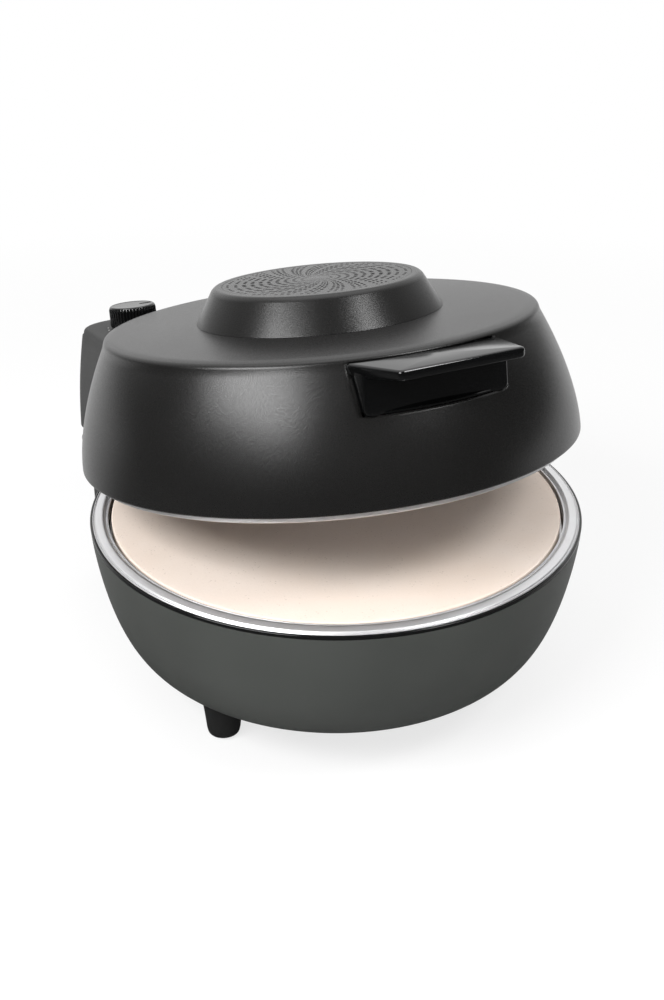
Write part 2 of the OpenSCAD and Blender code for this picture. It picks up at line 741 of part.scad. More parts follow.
cap_z = lid_top_z(cap_low_r);
cap_top_z = cap_z + cap_h;
cap_wall = 1.5;
cap_screw_ring = (cap_low_r + lid_hole_r) / 2;
cap_screw_angles = [0, 120, 240];
module vent_cap() {
  foot_r = cap_low_r - 1;
  color([0.14, 0.14, 0.14]) on_lid() difference() {
    union() {
      rotate_extrude() polygon([
        [foot_r + 0.8, cap_z + seat_gap], [foot_r, cap_z + 1.6], [cap_top_r + 0.9, cap_top_z - 2.6],
        [cap_top_r - 0.4, cap_top_z - 0.9], [cap_top_r - 2.4, cap_top_z], [grille_r - 1.5, cap_top_z],
        [grille_r - 1.5, cap_top_z - cap_wall], [cap_top_r - 3, cap_top_z - cap_wall],
        [foot_r - cap_wall, cap_z + 1.6], [foot_r - cap_wall + 0.6, cap_z + seat_gap]
      ]);
      around(cap_screw_angles, cap_screw_ring) translate([0, 0, lid_top_z(lid_hole_r) + seat_gap])
        cylinder(r = boss_r, h = cap_boss_h, $fn = 32);
      around(cap_screw_angles, cap_screw_ring) translate([0, -1, lid_top_z(lid_hole_r) + 2])
        cube([cap_low_r - cap_screw_ring - boss_r, 2, cap_boss_h - 2]);
    }
    around(cap_screw_angles, cap_screw_ring) translate([0, 0, cap_z - 4])
      cylinder(r = small_screw_r, h = 12, $fn = 32);
    translate([0, 0, cap_top_z - grille_t]) cylinder(r = grille_r + seat_gap, h = grille_t + 1);
  }
}
cap_boss_h = 9;

module vent_grille() {
  hole_r = 1.6;
  color([0.2, 0.2, 0.2]) on_lid() translate([0, 0, cap_top_z - grille_t]) difference() {
    cylinder(r = grille_r, h = grille_t - 0.1);
    for (ring = [0:3])
      around([for (i = [0:5 + 6 * ring]) i * 360 / (6 + 6 * ring) + ring * 11], grille_r * (0.22 + 0.2 * ring))
      translate([0, 0, -1]) cylinder(r = hole_r, h = grille_t + 2, $fn = 24);
  }
}

module vent_cap_screws() {
  color("gray") on_lid() around(cap_screw_angles, cap_screw_ring)
    translate([0, 0, lid_top_z(cap_screw_ring) - lid_wall - 0.3]) mirror([0, 0, 1])
      screw(small_screw_r - 0.05, 8, small_head_r, small_head_h);
}

// The handle: a shelf plate on a flat-fronted body that fills a cut in the lid's front
handle_top_z = rim_z + lid_h - 2.4;
plate_low_z = handle_top_z - handle_t;
handle_low_z = plate_low_z - handle_body_h;
handle_back_y = lid_top_r - 13;
handle_round = 3;
module handle() {
  ledge_t = 1.6;
  color("black") on_lid() difference() {
    union() {
      translate([0, 0, plate_low_z]) linear_extrude(height = handle_t) polygon([
        [-handle_back_w, -handle_plate_back], [-handle_front_w, -handle_reach + handle_round],
        [-handle_front_w + handle_round, -handle_reach], [handle_front_w - handle_round, -handle_reach],
        [handle_front_w, -handle_reach + handle_round], [handle_back_w, -handle_plate_back]
      ]);
      translate([-handle_body_w, -handle_face_y, handle_low_z])
        cube([2 * handle_body_w, handle_face_y - handle_back_y, handle_top_z - handle_low_z]);
      intersection() {
        translate([-handle_body_w, -big, handle_low_z])
          cube([2 * handle_body_w, big - handle_face_y + 1, ledge_t]);
        lid_space(-0.6);
      }
    }
    translate([-handle_body_w + 3, -handle_face_y + 3, handle_low_z + 3])
      cube([2 * handle_body_w - 6, handle_face_y - handle_back_y, handle_top_z - handle_low_z - 6]);
    for (s = [-1, 1]) translate([s * handle_screw_x, -handle_face_y + 1, handle_screw_z])
      rotate([-90, 0, 0]) cylinder(r = foot_screw_r + seat_gap, h = 10, $fn = 32);
  }
}
handle_plate_back = sqrt(pow(lid_top_r, 2) - pow(handle_back_w, 2));
handle_screw_x = 30;
handle_screw_z = (handle_low_z + handle_top_z) / 2;

module handle_stiffener() {
  plate_back_y = handle_face_y - 3 - seat_gap;
  color("silver") on_lid() difference() {
    translate([-handle_body_w + 4, -plate_back_y, handle_low_z + 4])
      cube([2 * handle_body_w - 8, 2, handle_top_z - handle_low_z - 8]);
    for (s = [-1, 1]) translate([s * handle_screw_x, -plate_back_y - 1, handle_screw_z])
      rotate([-90, 0, 0]) cylinder(r = foot_screw_r + screw_play, h = 10, $fn = 32);
  }
}

module handle_screws() {
  plate_back_y = handle_face_y - 3 - seat_gap;
  color("gray") on_lid() for (s = [-1, 1])
    translate([s * handle_screw_x, -plate_back_y + 2 + seat_gap, handle_screw_z])
    rotate([-90, 0, 0]) screw(foot_screw_r, 4, foot_screw_head_r, foot_screw_head_h);
}

// ---- Control housing on the lid's rear ----

tower_rear_mid = tower_rear + tower_mid_w - tower_top_w;
tower_rear_low = tower_rear + tower_low_w - tower_top_w;
tower_mid_z = rim_z + (tower_top + tower_low) / 2;
tower_start_y = 90;
module tower_slab(w, front_w, rear, corner, z) {
  translate([0, 0, z]) linear_extrude(height = 0.2) union() {
    for (s = [-1, 1]) translate([s * (w - corner), rear - corner]) circle(r = corner, $fn = 32);
    translate([-front_w, tower_start_y]) square([2 * front_w, 1]);
  }
}
module tower_form(d) {
  low = rim_z + tower_low - (d > 0 ? 5 : 0);
  hull() {
    tower_slab(tower_top_w - d, tower_top_w + tower_flare - d, tower_rear - d, tower_corner - d, rim_z + tower_top - d - 0.2);
    tower_slab(tower_mid_w - d, tower_mid_w + tower_flare / 2 - d, tower_rear_mid - d, tower_corner - d, tower_mid_z);
    tower_slab(tower_low_w - d, tower_low_w - d, tower_rear_low - d, tower_corner - d, low);
  }
}

boss_r = 4;
boss_h = 12;
module control_housing() {
  boss_z = rim_z + tower_low + cover_t + seat_gap;
  color([0.2, 0.2, 0.2]) on_lid() difference() {
    union() {
      difference() {
        tower_form(0);
        tower_form(tower_wall);
      }
      for (s = [-1, 1]) translate([s * cover_screw_x, cover_screw_y, boss_z]) {
        cylinder(r = boss_r, h = boss_h, $fn = 32);
        translate([-1, 0, 0]) cube([2, tower_rear_low - tower_wall - cover_screw_y, boss_h]);
      }
    }
    for (s = [-1, 1]) translate([s * cover_screw_x, cover_screw_y, boss_z - 1])
      cylinder(r = small_screw_r + seat_gap, h = 10, $fn = 32);
    lid_space(seat_gap);
    translate([-knob_x, knob_y, rim_z + tower_top - 10]) cylinder(r = nut_r + seat_gap, h = 20, $fn = 64);
  }
}

cover_t = 2;
cover_gap = 1.2;
notch_back = 5.2;
module housing_cover() {
  color([0.2, 0.2, 0.2]) on_lid() difference() {
    rounded_box(tower_low_w - tower_wall - cover_gap, tower_start_y, tower_rear_low - tower_wall - cover_gap,
      tower_corner - tower_wall, rim_z + tower_low, cover_t);
    translate([0, 0, rim_z - 5]) cylinder(r = lid_r + cover_gap, h = 30);
    for (s = [-1, 1]) translate([s * arm_x - arm_w / 2 - 0.5, tower_start_y, rim_z - 5])
      cube([arm_w + 1, hinge_y - notch_back - tower_start_y, 30]);
    for (s = [-1, 1]) translate([s * cover_screw_x, cover_screw_y, rim_z - 5])
      cylinder(r = small_screw_r + screw_play, h = 30, $fn = 32);
  }
}
cover_screw_x = 50;
cover_screw_y = (tower_rear_low + lid_r) / 2 + 1;
module housing_screws() {
  color("gray") on_lid() for (s = [-1, 1]) translate([s * cover_screw_x, cover_screw_y, rim_z + tower_low])
    mirror([0, 0, 1]) screw(small_screw_r, 8, small_head_r, small_head_h);
}

// Steel arms: from the hinge eye up inside the housing and forward to the lid's wall
arm_screw_heights = [22, 36];
arm_face_y = sqrt(pow(lid_r, 2) - pow(arm_x0, 2)) + 1;
arm_front_y = arm_face_y - 22;
arm_low = 13;
arm_screw_l = 22;
// The arm screws' heads lie just inside the shell's wall at the upper screw's outer edge
arm_head_y = sqrt(pow(lid_side_r(arm_screw_heights[1] + 5) - lid_wall, 2) - pow(arm_x + 5, 2)) - 1;
module hinge_arm(s) {
  top_z = 44;
  neck = eye_r - 1;
  color("silver") on_lid() difference() {
    union() {
      translate([s * arm_x - arm_w / 2, 0, rim_z]) rotate([90, 0, 90]) linear_extrude(height = arm_w) polygon([
        [hinge_y - neck, -hinge_drop], [hinge_y - eye_r - 9, tower_low], [arm_front_y, arm_low],
        [arm_front_y, top_z], [arm_face_y + 10, top_z], [hinge_y - eye_r, 20], [hinge_y - 6, tower_low],
        [hinge_y + 2, neck - hinge_drop - 1], [hinge_y, -hinge_drop]
      ]);
      translate([s * arm_x - arm_w / 2, hinge_y, hinge_z]) rotate([0, 90, 0]) cylinder(r = eye_r, h = arm_w);
    }
    lid_space(seat_gap);
    translate([s * arm_x - arm_w, hinge_y, hinge_z]) rotate([0, 90, 0])
      cylinder(r = pin_r + run_fit, h = 2 * arm_w, $fn = 64);
    for (z = arm_screw_heights) translate([s * arm_x, arm_head_y, rim_z + z]) rotate([-90, 0, 0])
      cylinder(r = foot_screw_r + seat_gap, h = arm_screw_l + 1, $fn = 32);
  }
}
module hinge_arm_left() { hinge_arm(-1); }
module hinge_arm_right() { hinge_arm(1); }

module hinge_arm_screws() {
  color("gray") on_lid() for (s = [-1, 1], z = arm_screw_heights)
    translate([s * arm_x, arm_head_y, rim_z + z]) rotate([90, 0, 0])
      screw(foot_screw_r, arm_screw_l, foot_screw_head_r, foot_screw_head_h);
}

// ---- Thermostat and knob ----

body_r = 13;
body_h = 12;
nut_r = 7.5;
plate_z = tower_top - tower_wall;
// The knob's axis stands clear of the lid's side by the thermostat's body
knob_ring_r = lid_side_r(plate_z - seat_gap - body_h) + body_r + knob_clear;
knob_x = knob_ring_r * sin(knob_angle);
knob_y = knob_ring_r * cos(knob_angle);
module thermostat_body() {
  color("silver") on_lid() translate([-knob_x, knob_y, rim_z]) difference() {
    translate([0, 0, plate_z - seat_gap - body_h]) cylinder(r = body_r, h = body_h, $fn = 64);
    translate([0, 0, plate_z - body_h + 3]) cylinder(r = shaft_r + run_fit, h = body_h, $fn = 64);
  }
}

module thermostat_nut() {
  color("silver") on_lid() translate([-knob_x, knob_y, rim_z + plate_z]) difference() {
    cylinder(r = nut_r, h = tower_wall + 0.6, $fn = 64);
    translate([0, 0, -1]) cylinder(r = shaft_r + run_fit, h = tower_wall + 4, $fn = 64);
  }
}

knob_gap = 1;
knob_low = tower_top + knob_gap;
module thermostat_shaft() {
  color("silver") on_lid() translate([-knob_x, knob_y, rim_z + plate_z - body_h + 3 + move_gap])
    cylinder(r = shaft_r, h = knob_low + knob_h * 0.6 - (plate_z - body_h + 3 + move_gap), $fn = 64);
}

module knob() {
  skirt = 1;
  color("black") on_lid() translate([-knob_x, knob_y, rim_z + knob_low]) difference() {
    union() {
      cylinder(r = knob_r, h = knob_h - skirt);
      translate([0, 0, knob_h - skirt - eps]) cylinder(r1 = knob_r, r2 = knob_r - skirt, h = skirt);
    }
    translate([0, 0, -1]) cylinder(r = shaft_r, h = knob_h * 0.6 + 1, $fn = 64);
    pointer_cut(0.1);
  }
}

pointer_l = 8;
pointer_w = 1.4;
module pointer_cut(g) {
  translate([knob_r - 3 - pointer_l - g, -pointer_w / 2 - g, knob_h - 0.8])
    cube([pointer_l + 2 * g, pointer_w + 2 * g, 2]);
}
module knob_pointer() {
  color("white") on_lid() translate([-knob_x, knob_y, rim_z + knob_low])
    translate([knob_r - 3 - pointer_l, -pointer_w / 2, knob_h - 0.8]) cube([pointer_l, pointer_w, 0.8]);
}

lid_cutout_x = -62;
lid_cutout_y = 30;
module lid_cutout() {
  color("dimgray") on_lid() translate([lid_cutout_x, lid_cutout_y, rim_z + liner_h]) cutout();
}

module lid_leads() {
  start_y = upper_leg_end + upper_pin_l + 0.3;
  color("white") on_lid() for (s = [-1, 1]) translate([s * leg_x, start_y, upper_heater_z])
    rotate([-90, 0, 0]) cylinder(r = lead_r, h = lid_r + 12 - start_y, $fn = 24);
}

base_shell();
lip_trim();
rim_ring();
stone_pan();
baking_stone();
lower_heater();
lower_heater_clips();
base_insulation();
bottom_plate();
bottom_plate_screws();
foot_front_left();
foot_front_right();
foot_rear_left();
foot_rear_right();
foot_pad_front_left();
foot_pad_front_right();
foot_pad_rear_left();
foot_pad_rear_right();
foot_screws();
hinge_housing();
hinge_housing_screws();
hinge_pin_left();
hinge_pin_right();
hinge_washers();
cord_gland();
terminal_block();
base_cutout();
base_leads();
lid_shell();
lid_ring();
lid_liner();
upper_heater();
upper_heater_clips();
lid_insulation();
vent_cap();
vent_grille();
vent_cap_screws();
handle();
handle_stiffener();
handle_screws();
control_housing();
housing_cover();
housing_screws();
hinge_arm_left();
hinge_arm_right();
hinge_arm_screws();
thermostat_body();
thermostat_nut();
lid_cutout();
lid_leads();
thermostat_shaft();
knob();
knob_pointer();
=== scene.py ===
"""Looks of a countertop pizza oven, built round its packed CAD frame.

Lengths in the shape functions are millimetres in the bowl's own frame: Z is up, z = 0 is the outer edge of
the rim, the bowl's axis is x = y = 0 and the front faces -Y. place() turns them into metres in the row frame,
and turns the pieces of the lid and the knob about the hinge by the angle at which the lid stands.
"""
import json
import math

import bmesh
import bpy
import numpy as np
from bpy.props import FloatProperty, FloatVectorProperty, IntProperty, PointerProperty
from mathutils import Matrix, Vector


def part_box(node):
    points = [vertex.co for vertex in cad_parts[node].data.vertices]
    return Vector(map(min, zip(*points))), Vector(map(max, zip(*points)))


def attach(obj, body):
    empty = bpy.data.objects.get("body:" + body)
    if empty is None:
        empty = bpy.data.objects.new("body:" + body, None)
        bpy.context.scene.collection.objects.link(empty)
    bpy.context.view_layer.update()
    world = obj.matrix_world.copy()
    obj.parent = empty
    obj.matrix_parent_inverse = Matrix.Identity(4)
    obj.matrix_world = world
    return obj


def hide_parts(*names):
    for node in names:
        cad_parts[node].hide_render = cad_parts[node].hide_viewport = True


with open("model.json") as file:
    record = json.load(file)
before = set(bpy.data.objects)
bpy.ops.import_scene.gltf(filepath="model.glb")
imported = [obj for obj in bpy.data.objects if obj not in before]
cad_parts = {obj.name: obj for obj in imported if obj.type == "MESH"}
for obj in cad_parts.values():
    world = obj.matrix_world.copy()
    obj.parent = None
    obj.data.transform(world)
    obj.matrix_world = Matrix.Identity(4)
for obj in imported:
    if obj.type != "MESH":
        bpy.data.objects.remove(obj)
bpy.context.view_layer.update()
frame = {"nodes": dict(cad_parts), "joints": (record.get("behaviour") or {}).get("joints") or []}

bl_info = {
    "name": "Countertop Pizza Oven",
    "version": (1, 0, 0),
    "blender": (4, 5, 0),
    "location": "3D View > Sidebar > Pizza Oven",
    "description": "Builds the visible pieces, finishes and studio of a countertop pizza oven",
    "category": "Add Mesh",
}

HINGE = next(joint for joint in frame["joints"] if joint["name"] == "lid_hinge")
LID_OPEN = -HINGE["range_deg"][0]
STONE_LOW, STONE_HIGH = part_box("baking_stone")

# Places in millimetres: the bowl's axis and the rim in the row frame, then the bowl's flat bottom and the
# hinge line in the bowl's own frame.
AXIS_Y = (STONE_LOW[1] + STONE_HIGH[1]) * 500
RIM_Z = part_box("lip_trim")[1][2] * 1000
FLOOR_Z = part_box("bottom_plate")[1][2] * 1000 - RIM_Z
HINGE_REACH = HINGE["pos_m"][1] * 1000 - AXIS_Y
HINGE_DROP = RIM_Z - HINGE["pos_m"][2] * 1000


# ---- Sizes and colours that a user would change ----

def length(name, text, value):
    """A size in millimetres."""
    return FloatProperty(name=name, description=text, default=value, subtype="NONE")


def number(name, text, value):
    """A plain number."""
    return FloatProperty(name=name, description=text, default=value)


def position(name, text, value):
    """A place in the row frame, in metres."""
    return FloatVectorProperty(name=name, description=text, default=value, subtype="TRANSLATION", size=3,
                               unit="LENGTH")


def colour(name, text, value):
    """A linear colour."""
    return FloatVectorProperty(name=name, description=text, default=value, subtype="COLOR", size=3,
                               min=0, max=1)


class BaseSettings(bpy.types.PropertyGroup):
    """Sizes of the bowl, its rim and the stone, in millimetres"""
    bowl_radius: length("Bowl radius", "Radius of the bowl just under its lip", 166.7)
    floor_radius: length("Floor radius", "Radius of the bowl's flat bottom", 98.0)
    swell: number("Swell", "How late the bowl's side starts to turn in", 1.3)
    square: number("Square", "How square the side meets the bottom", 4.4)
    lip_radius: length("Lip radius", "Outer radius of the black lip", 166.8)
    lip_height: length("Lip height", "Height of the black lip", 2.6)
    rim_radius: length("Rim radius", "Outer radius of the metal rim", 165.2)
    stone_radius: length("Stone radius", "Radius of the baking stone", 152.5)
    stone_rise: length("Stone rise", "Height of the stone's top above the rim's outer edge", 0.6)
    foot_ring: length("Foot ring", "Distance of the feet from the bowl's axis", 115.0)


class LidSettings(bpy.types.PropertyGroup):
    """Sizes of the lid's shell, ring and liner, in millimetres"""
    radius: length("Lid radius", "Radius of the lid's shoulder", 166.1)
    top_radius: length("Top radius", "Radius of the lid's upper edge", 141.0)
    height: length("Lid height", "Height of the lid's flat top above the rim", 92.0)
    curve: number("Curve", "Power of the curve of the lid's side", 1.65)
    crown: length("Crown", "Rise of the lid's top towards its middle", 2.6)
    wall: length("Wall", "Sheet thickness of the shell", 0.8)
    liner_height: length("Liner height", "Height of the liner's roof above the rim", 64.0)


class VentSettings(bpy.types.PropertyGroup):
    """Sizes of the vent cap and its perforated disc, in millimetres"""
    low_radius: length("Foot radius", "Radius of the cap where it meets the lid", 80.7)
    top_radius: length("Top radius", "Radius of the cap's upper edge", 68.2)
    height: length("Height", "Height of the cap above the lid", 22.4)
    disc_radius: length("Disc radius", "Radius of the perforated disc", 62.0)
    arms: IntProperty(name="Arms", description="Swirling arms of holes round the disc",
                      default=22, min=12, max=60)
    rings: IntProperty(name="Rings", description="Rings of holes from the middle out",
                       default=10, min=5, max=24)
    swirl: FloatProperty(name="Swirl", description="Turn of an arm from the middle to the edge",
                         default=math.radians(-38), subtype="ANGLE")


class HandleSettings(bpy.types.PropertyGroup):
    """Sizes of the shelf handle, in millimetres"""
    back_width: length("Back half width", "Half the plate's width at the lid", 49.0)
    front_width: length("Front half width", "Half the plate's width at its front edge", 40.0)
    reach: length("Reach", "Distance of the front edge from the lid's axis", 180.5)
    top: length("Top", "Height of the plate's top above the rim", 89.6)
    thickness: length("Thickness", "Thickness of the plate at its front", 6.2)
    lean: number("Lean", "Slope of the plate, below zero where its front edge rises", -0.035)
    body_width: length("Body half width", "Half the width of the recessed front", 47.5)
    body_low: length("Body bottom", "Height of the recess's bottom above the rim", 60.0)
    face: length("Face", "Distance of the flat front from the lid's axis", 149.5)


class ControlSettings(bpy.types.PropertyGroup):
    """Sizes of the control housing and the knob, in millimetres"""
    top_width: length("Top half width", "Half the housing's width at its top", 113.2)
    mid_width: length("Middle half width", "Half the housing's width half way up", 119.3)
    low_width: length("Low half width", "Half the housing's width at its bottom", 122.7)
    flare: length("Flare", "How much wider its top is where it meets the lid", 6.0)
    rear: length("Rear", "Distance of its rear top edge from the lid's axis", 194.5)
    top: length("Top", "Height of its top above the rim", 78.0)
    low: length("Bottom", "Height of its bottom above the rim", 3.5)
    corner: length("Corner", "Radius of its rear corners", 29.0)
    knob_radius: length("Knob radius", "Radius over the ribs", 17.0)
    knob_height: length("Knob height", "Height of the knob", 15.0)
    knob_x: length("Knob place, sideways", "Distance left of the middle", 80.36)
    knob_y: length("Knob place, back", "Distance behind the lid's axis", 148.63)
    ribs: IntProperty(name="Ribs", description="Ribs round the knob", default=44, min=12, max=80)


class FinishSettings(bpy.types.PropertyGroup):
    """Colours of the finishes, linear"""
    black_paint: colour("Black paint", "Satin paint of the lid and the cap", (0.0066, 0.0064, 0.0062))
    grey_paint: colour("Grey paint", "Satin paint of the bowl", (0.047, 0.0505, 0.0465))
    gloss_black: colour("Gloss black", "Plastic of the handle, lip and knob", (0.0015, 0.0016, 0.0017))
    grey_plastic: colour("Grey plastic", "Moulded housings and feet", (0.015, 0.015, 0.0147))
    aluminium: colour("Aluminium", "Rim, ring, pan and liner", (0.80, 0.80, 0.81))
    stone: colour("Stone", "Cordierite baking stone", (0.84, 0.735, 0.655))
    steel: colour("Steel", "Screws, heaters and hinge parts", (0.52, 0.51, 0.50))
    fibre: colour("Fibre", "Heat blankets", (0.78, 0.76, 0.68))
    rubber: colour("Rubber", "Pads under the feet", (0.018, 0.018, 0.018))
    white: colour("White", "Marks, sleeves and terminal block", (0.80, 0.79, 0.76))


class StageSettings(bpy.types.PropertyGroup):
    """Camera, floor and lamps"""
    camera: position("Camera", "Camera position", (-0.37437, -0.76075, 0.5657))
    target: position("Target", "Point that the camera looks at", (-0.00236, -0.02134, 0.12981))
    lens: number("Lens", "Focal length in millimetres on a 36 mm side", 49.1)
    floor: colour("Floor", "Colour of the floor", (0.90, 0.90, 0.90))
    level: number("Level", "Strength of the soft light from all round", 0.40)
    front: number("Front", "Brightness that gloss shows of the room in front", 0.07)


SETTINGS = {
    "oven_base": BaseSettings, "oven_lid": LidSettings, "oven_vent": VentSettings,
    "oven_handle": HandleSettings, "oven_control": ControlSettings, "oven_finish": FinishSettings,
    "oven_stage": StageSettings,
}


def settings(name):
    """The scene's property group of that name."""
    return getattr(bpy.context.scene, name)


# ---- Shader maths and finishes ----

class Value:
    """An output socket; an expression on Values adds the Math nodes that work it out."""

    def __init__(self, nodes, socket):
        self.nodes = nodes
        self.socket = socket

    def __add__(self, other):
        return self.nodes.math("ADD", self, other)

    def __sub__(self, other):
        return self.nodes.math("SUBTRACT", self, other)

    def __rsub__(self, other):
        return self.nodes.math("SUBTRACT", other, self)

    def __mul__(self, other):
        return self.nodes.math("MULTIPLY", self, other)

    __radd__ = __add__
    __rmul__ = __mul__


class Nodes:
    """Adds nodes to the tree of a material or the world: node() adds any of them, the rest are short forms."""

    def __init__(self, tree):
        self.tree = tree

    def node(self, kind, settings=None, sockets=None, output=0):
        """Adds a node, sets its settings and ramp stops, then the values or links of its sockets."""
        node = self.tree.nodes.new(kind)
        for key, value in (settings or {}).items():
            if key == "stops":
                ramp = node.color_ramp.elements
                while len(ramp) < len(value):
                    ramp.new(0.5)
                for element, (position, tone) in zip(ramp, value):
                    element.position = position
                    element.color = (*tone, 1)
            else:
                setattr(node, key, value)
        for key, value in (sockets or {}).items():
            self.put(node.inputs[key], value)
        return Value(self, node.outputs[output])

    def put(self, socket, value):
        """Links a Value to a socket, or sets a number or a colour on it."""
        if isinstance(value, Value):
            self.tree.links.new(value.socket, socket)
        elif isinstance(value, (tuple, list)) and socket.type == "RGBA":
            socket.default_value = (*value, 1)[:4]
        else:
            socket.default_value = value

    def math(self, operation, *values):
        """A Math node on Values and numbers."""
        return self.node("ShaderNodeMath", {"operation": operation}, dict(enumerate(values)))

    def vector(self, operation, *values, output="Vector"):
        """A Vector Math node; an operation whose result is a number has it in the output Value."""
        return self.node("ShaderNodeVectorMath", {"operation": operation}, dict(enumerate(values)), output)

    def place(self, scale=(1, 1, 1), centre=(0, 0, 0)):
        """The piece's own coordinates in metres, from a centre, stretched by a scale."""
        where = self.node("ShaderNodeTexCoord", output="Object")
        return self.node("ShaderNodeMapping", {"vector_type": "POINT"}, {
            "Vector": where, "Scale": scale, "Location": tuple(-c * s for c, s in zip(centre, scale))})

    def noise(self, scale, detail=3.0, rough=0.55, vector=None):
        """Noise from 0 to 1, with its scale in turns per metre."""
        return self.node("ShaderNodeTexNoise", {}, {
            "Vector": vector or self.place(), "Scale": scale, "Detail": detail, "Roughness": rough})

    def remap(self, value, low, high, to_low, to_high):
        """Maps a range onto another one, and holds it there."""
        return self.node("ShaderNodeMapRange", {"clamp": True}, {
            "Value": value, "From Min": low, "From Max": high, "To Min": to_low, "To Max": to_high})

    def vary(self, noise, to_low, to_high):
        """Maps the range that a noise mostly keeps to, 0.3 to 0.7, onto another one."""
        return self.remap(noise, 0.3, 0.7, to_low, to_high)

    def mix(self, factor, first, second):
        """Mixes two colours."""
        return self.node("ShaderNodeMix", {"data_type": "RGBA"}, {0: factor, 6: first, 7: second}, 2)

    def bump(self, height, depth, strength=1.0, normal=None):
        """A Bump node whose height of 1 stands for a depth in metres."""
        sockets = {"Height": height, "Distance": depth, "Strength": strength}
        if normal:
            sockets["Normal"] = normal
        return self.node("ShaderNodeBump", {}, sockets)


class Finish(Nodes):
    """A node-based material: constants go on the shader's own sockets, and feed() links what varies."""

    def __init__(self, name, **constants):
        self.material = bpy.data.materials.new(name)
        self.material.use_nodes = True
        super().__init__(self.material.node_tree)
        self.shader = self.tree.nodes["Principled BSDF"]
        self.feed(**constants)

    def feed(self, **sockets):
        """Feeds values to the shader's sockets, and returns the material."""
        for name, value in sockets.items():
            self.put(self.shader.inputs[name.replace("_", " ")], value)
        return self.material


FINISHES = {}


def shade(base, factor):
    """A colour made lighter or darker."""
    return tuple(min(1.0, c * factor) for c in base)


def make_satin_paint(name, base, rough):
    """Powder-coated metal: a fine grain in gloss and height over a slight orange peel, and a faint cloudy
    change of tone over a hand's width."""
    grain = 0.00005
    f = Finish(name, IOR=1.42)
    cloud = f.noise(9.0, 2.0)
    orange_peel = f.noise(900.0, 2.0, 0.5)
    speck = f.noise(2600.0, 2.0, 0.7)
    return f.feed(
        Base_Color=f.mix(f.vary(cloud, 0.0, 1.0), shade(base, 0.9), shade(base, 1.12)),
        Roughness=f.vary(speck, rough - 0.06, rough + 0.08) + f.vary(cloud, -0.015, 0.02),
        Normal=f.bump(speck, grain, 0.8, f.bump(orange_peel, grain * 0.5, 0.4)))


def make_gloss_plastic(name, base, rough=0.09):
    """Injection-moulded gloss plastic: nearly clear reflections with faint flow waves and hairline scuffs."""
    f = Finish(name, IOR=1.5)
    flow = f.noise(28.0, 2.0)
    scuff = f.noise(60.0, 3.0, 0.6, vector=f.place(scale=(1.0, 14.0, 14.0)))
    return f.feed(
        Base_Color=f.mix(flow, shade(base, 0.9), shade(base, 1.2)),
        Roughness=f.remap(scuff, 0.55, 0.8, rough, rough + 0.10),
        Normal=f.bump(flow, 0.0004, 0.12))


def make_matte_plastic(name, base, rough, grain=0.00006):
    """Spark-eroded moulded plastic: an even fine leathery grain, slightly worn to gloss in patches."""
    f = Finish(name, IOR=1.42)
    texture = f.noise(1500.0, 3.0, 0.6)
    wear = f.noise(14.0, 3.0)
    return f.feed(
        Base_Color=f.mix(wear, shade(base, 0.92), shade(base, 1.1)),
        Roughness=f.vary(texture, rough - 0.07, rough + 0.07) + f.remap(wear, 0.4, 0.8, 0.0, -0.05),
        Normal=f.bump(texture, grain, 0.7))


def make_turned_metal(name, base, rough, stroke=1.0):
    """Spun sheet metal: fine rings about the bowl's axis in height and gloss, with a light stain here and
    there. The rings are noise read on the distance from the axis and the height, so they run round it."""
    f = Finish(name, Metallic=1.0)
    where = f.place(centre=(0.0, AXIS_Y / 1000, 0.0))
    radius = f.vector("LENGTH", f.vector("MULTIPLY", where, (1.0, 1.0, 0.0)), output="Value")
    height = f.node("ShaderNodeSeparateXYZ", {}, {0: where}, output="Z")
    section = f.node("ShaderNodeCombineXYZ", {}, {0: radius, 1: height * 0.6, 2: 0.0})
    rings = f.noise(2200.0 * stroke, 3.0, 0.6, vector=section)
    along = f.noise(130.0, 3.0)
    stain = f.noise(22.0, 4.0, 0.6)
    stained = shade((base[0], base[1] * 0.97, base[2] * 0.92), 0.84)
    return f.feed(
        Base_Color=f.mix(f.remap(stain, 0.5, 0.8, 0.0, 0.35), base, stained),
        Roughness=f.vary(rings, rough - 0.06, rough + 0.09) + f.remap(along, 0.4, 0.7, -0.02, 0.04),
        Normal=f.bump(rings, 0.00003, 0.55))


def make_machine_metal(name, base, rough=0.32):
    """Plated or drawn steel: a fine isotropic grain and faint oxide clouds."""
    f = Finish(name, Metallic=1.0)
    grain = f.noise(1800.0, 3.0, 0.6)
    cloud = f.noise(60.0, 3.0)
    return f.feed(
        Base_Color=f.mix(cloud, shade(base, 0.82), shade(base, 1.15)),
        Roughness=f.vary(grain, rough - 0.06, rough + 0.1),
        Normal=f.bump(grain, 0.00002, 0.5))


def make_heater_metal(name):
    """Heater tube: dark oxide with a straw and blue temper drift along it."""
    f = Finish(name, Metallic=0.9)
    drift = f.noise(16.0, 2.0)
    grain = f.noise(900.0, 3.0, 0.6)
    oxide, straw = (0.16, 0.15, 0.15), (0.24, 0.19, 0.15)
    violet, blue = (0.17, 0.15, 0.18), (0.11, 0.12, 0.15)
    tint = f.node("ShaderNodeValToRGB", {
        "stops": [(0.25, oxide), (0.45, straw), (0.6, violet), (0.8, blue)]}, {0: drift})
    return f.feed(Base_Color=tint, Roughness=f.vary(grain, 0.34, 0.52), Normal=f.bump(grain, 0.00004, 0.5))


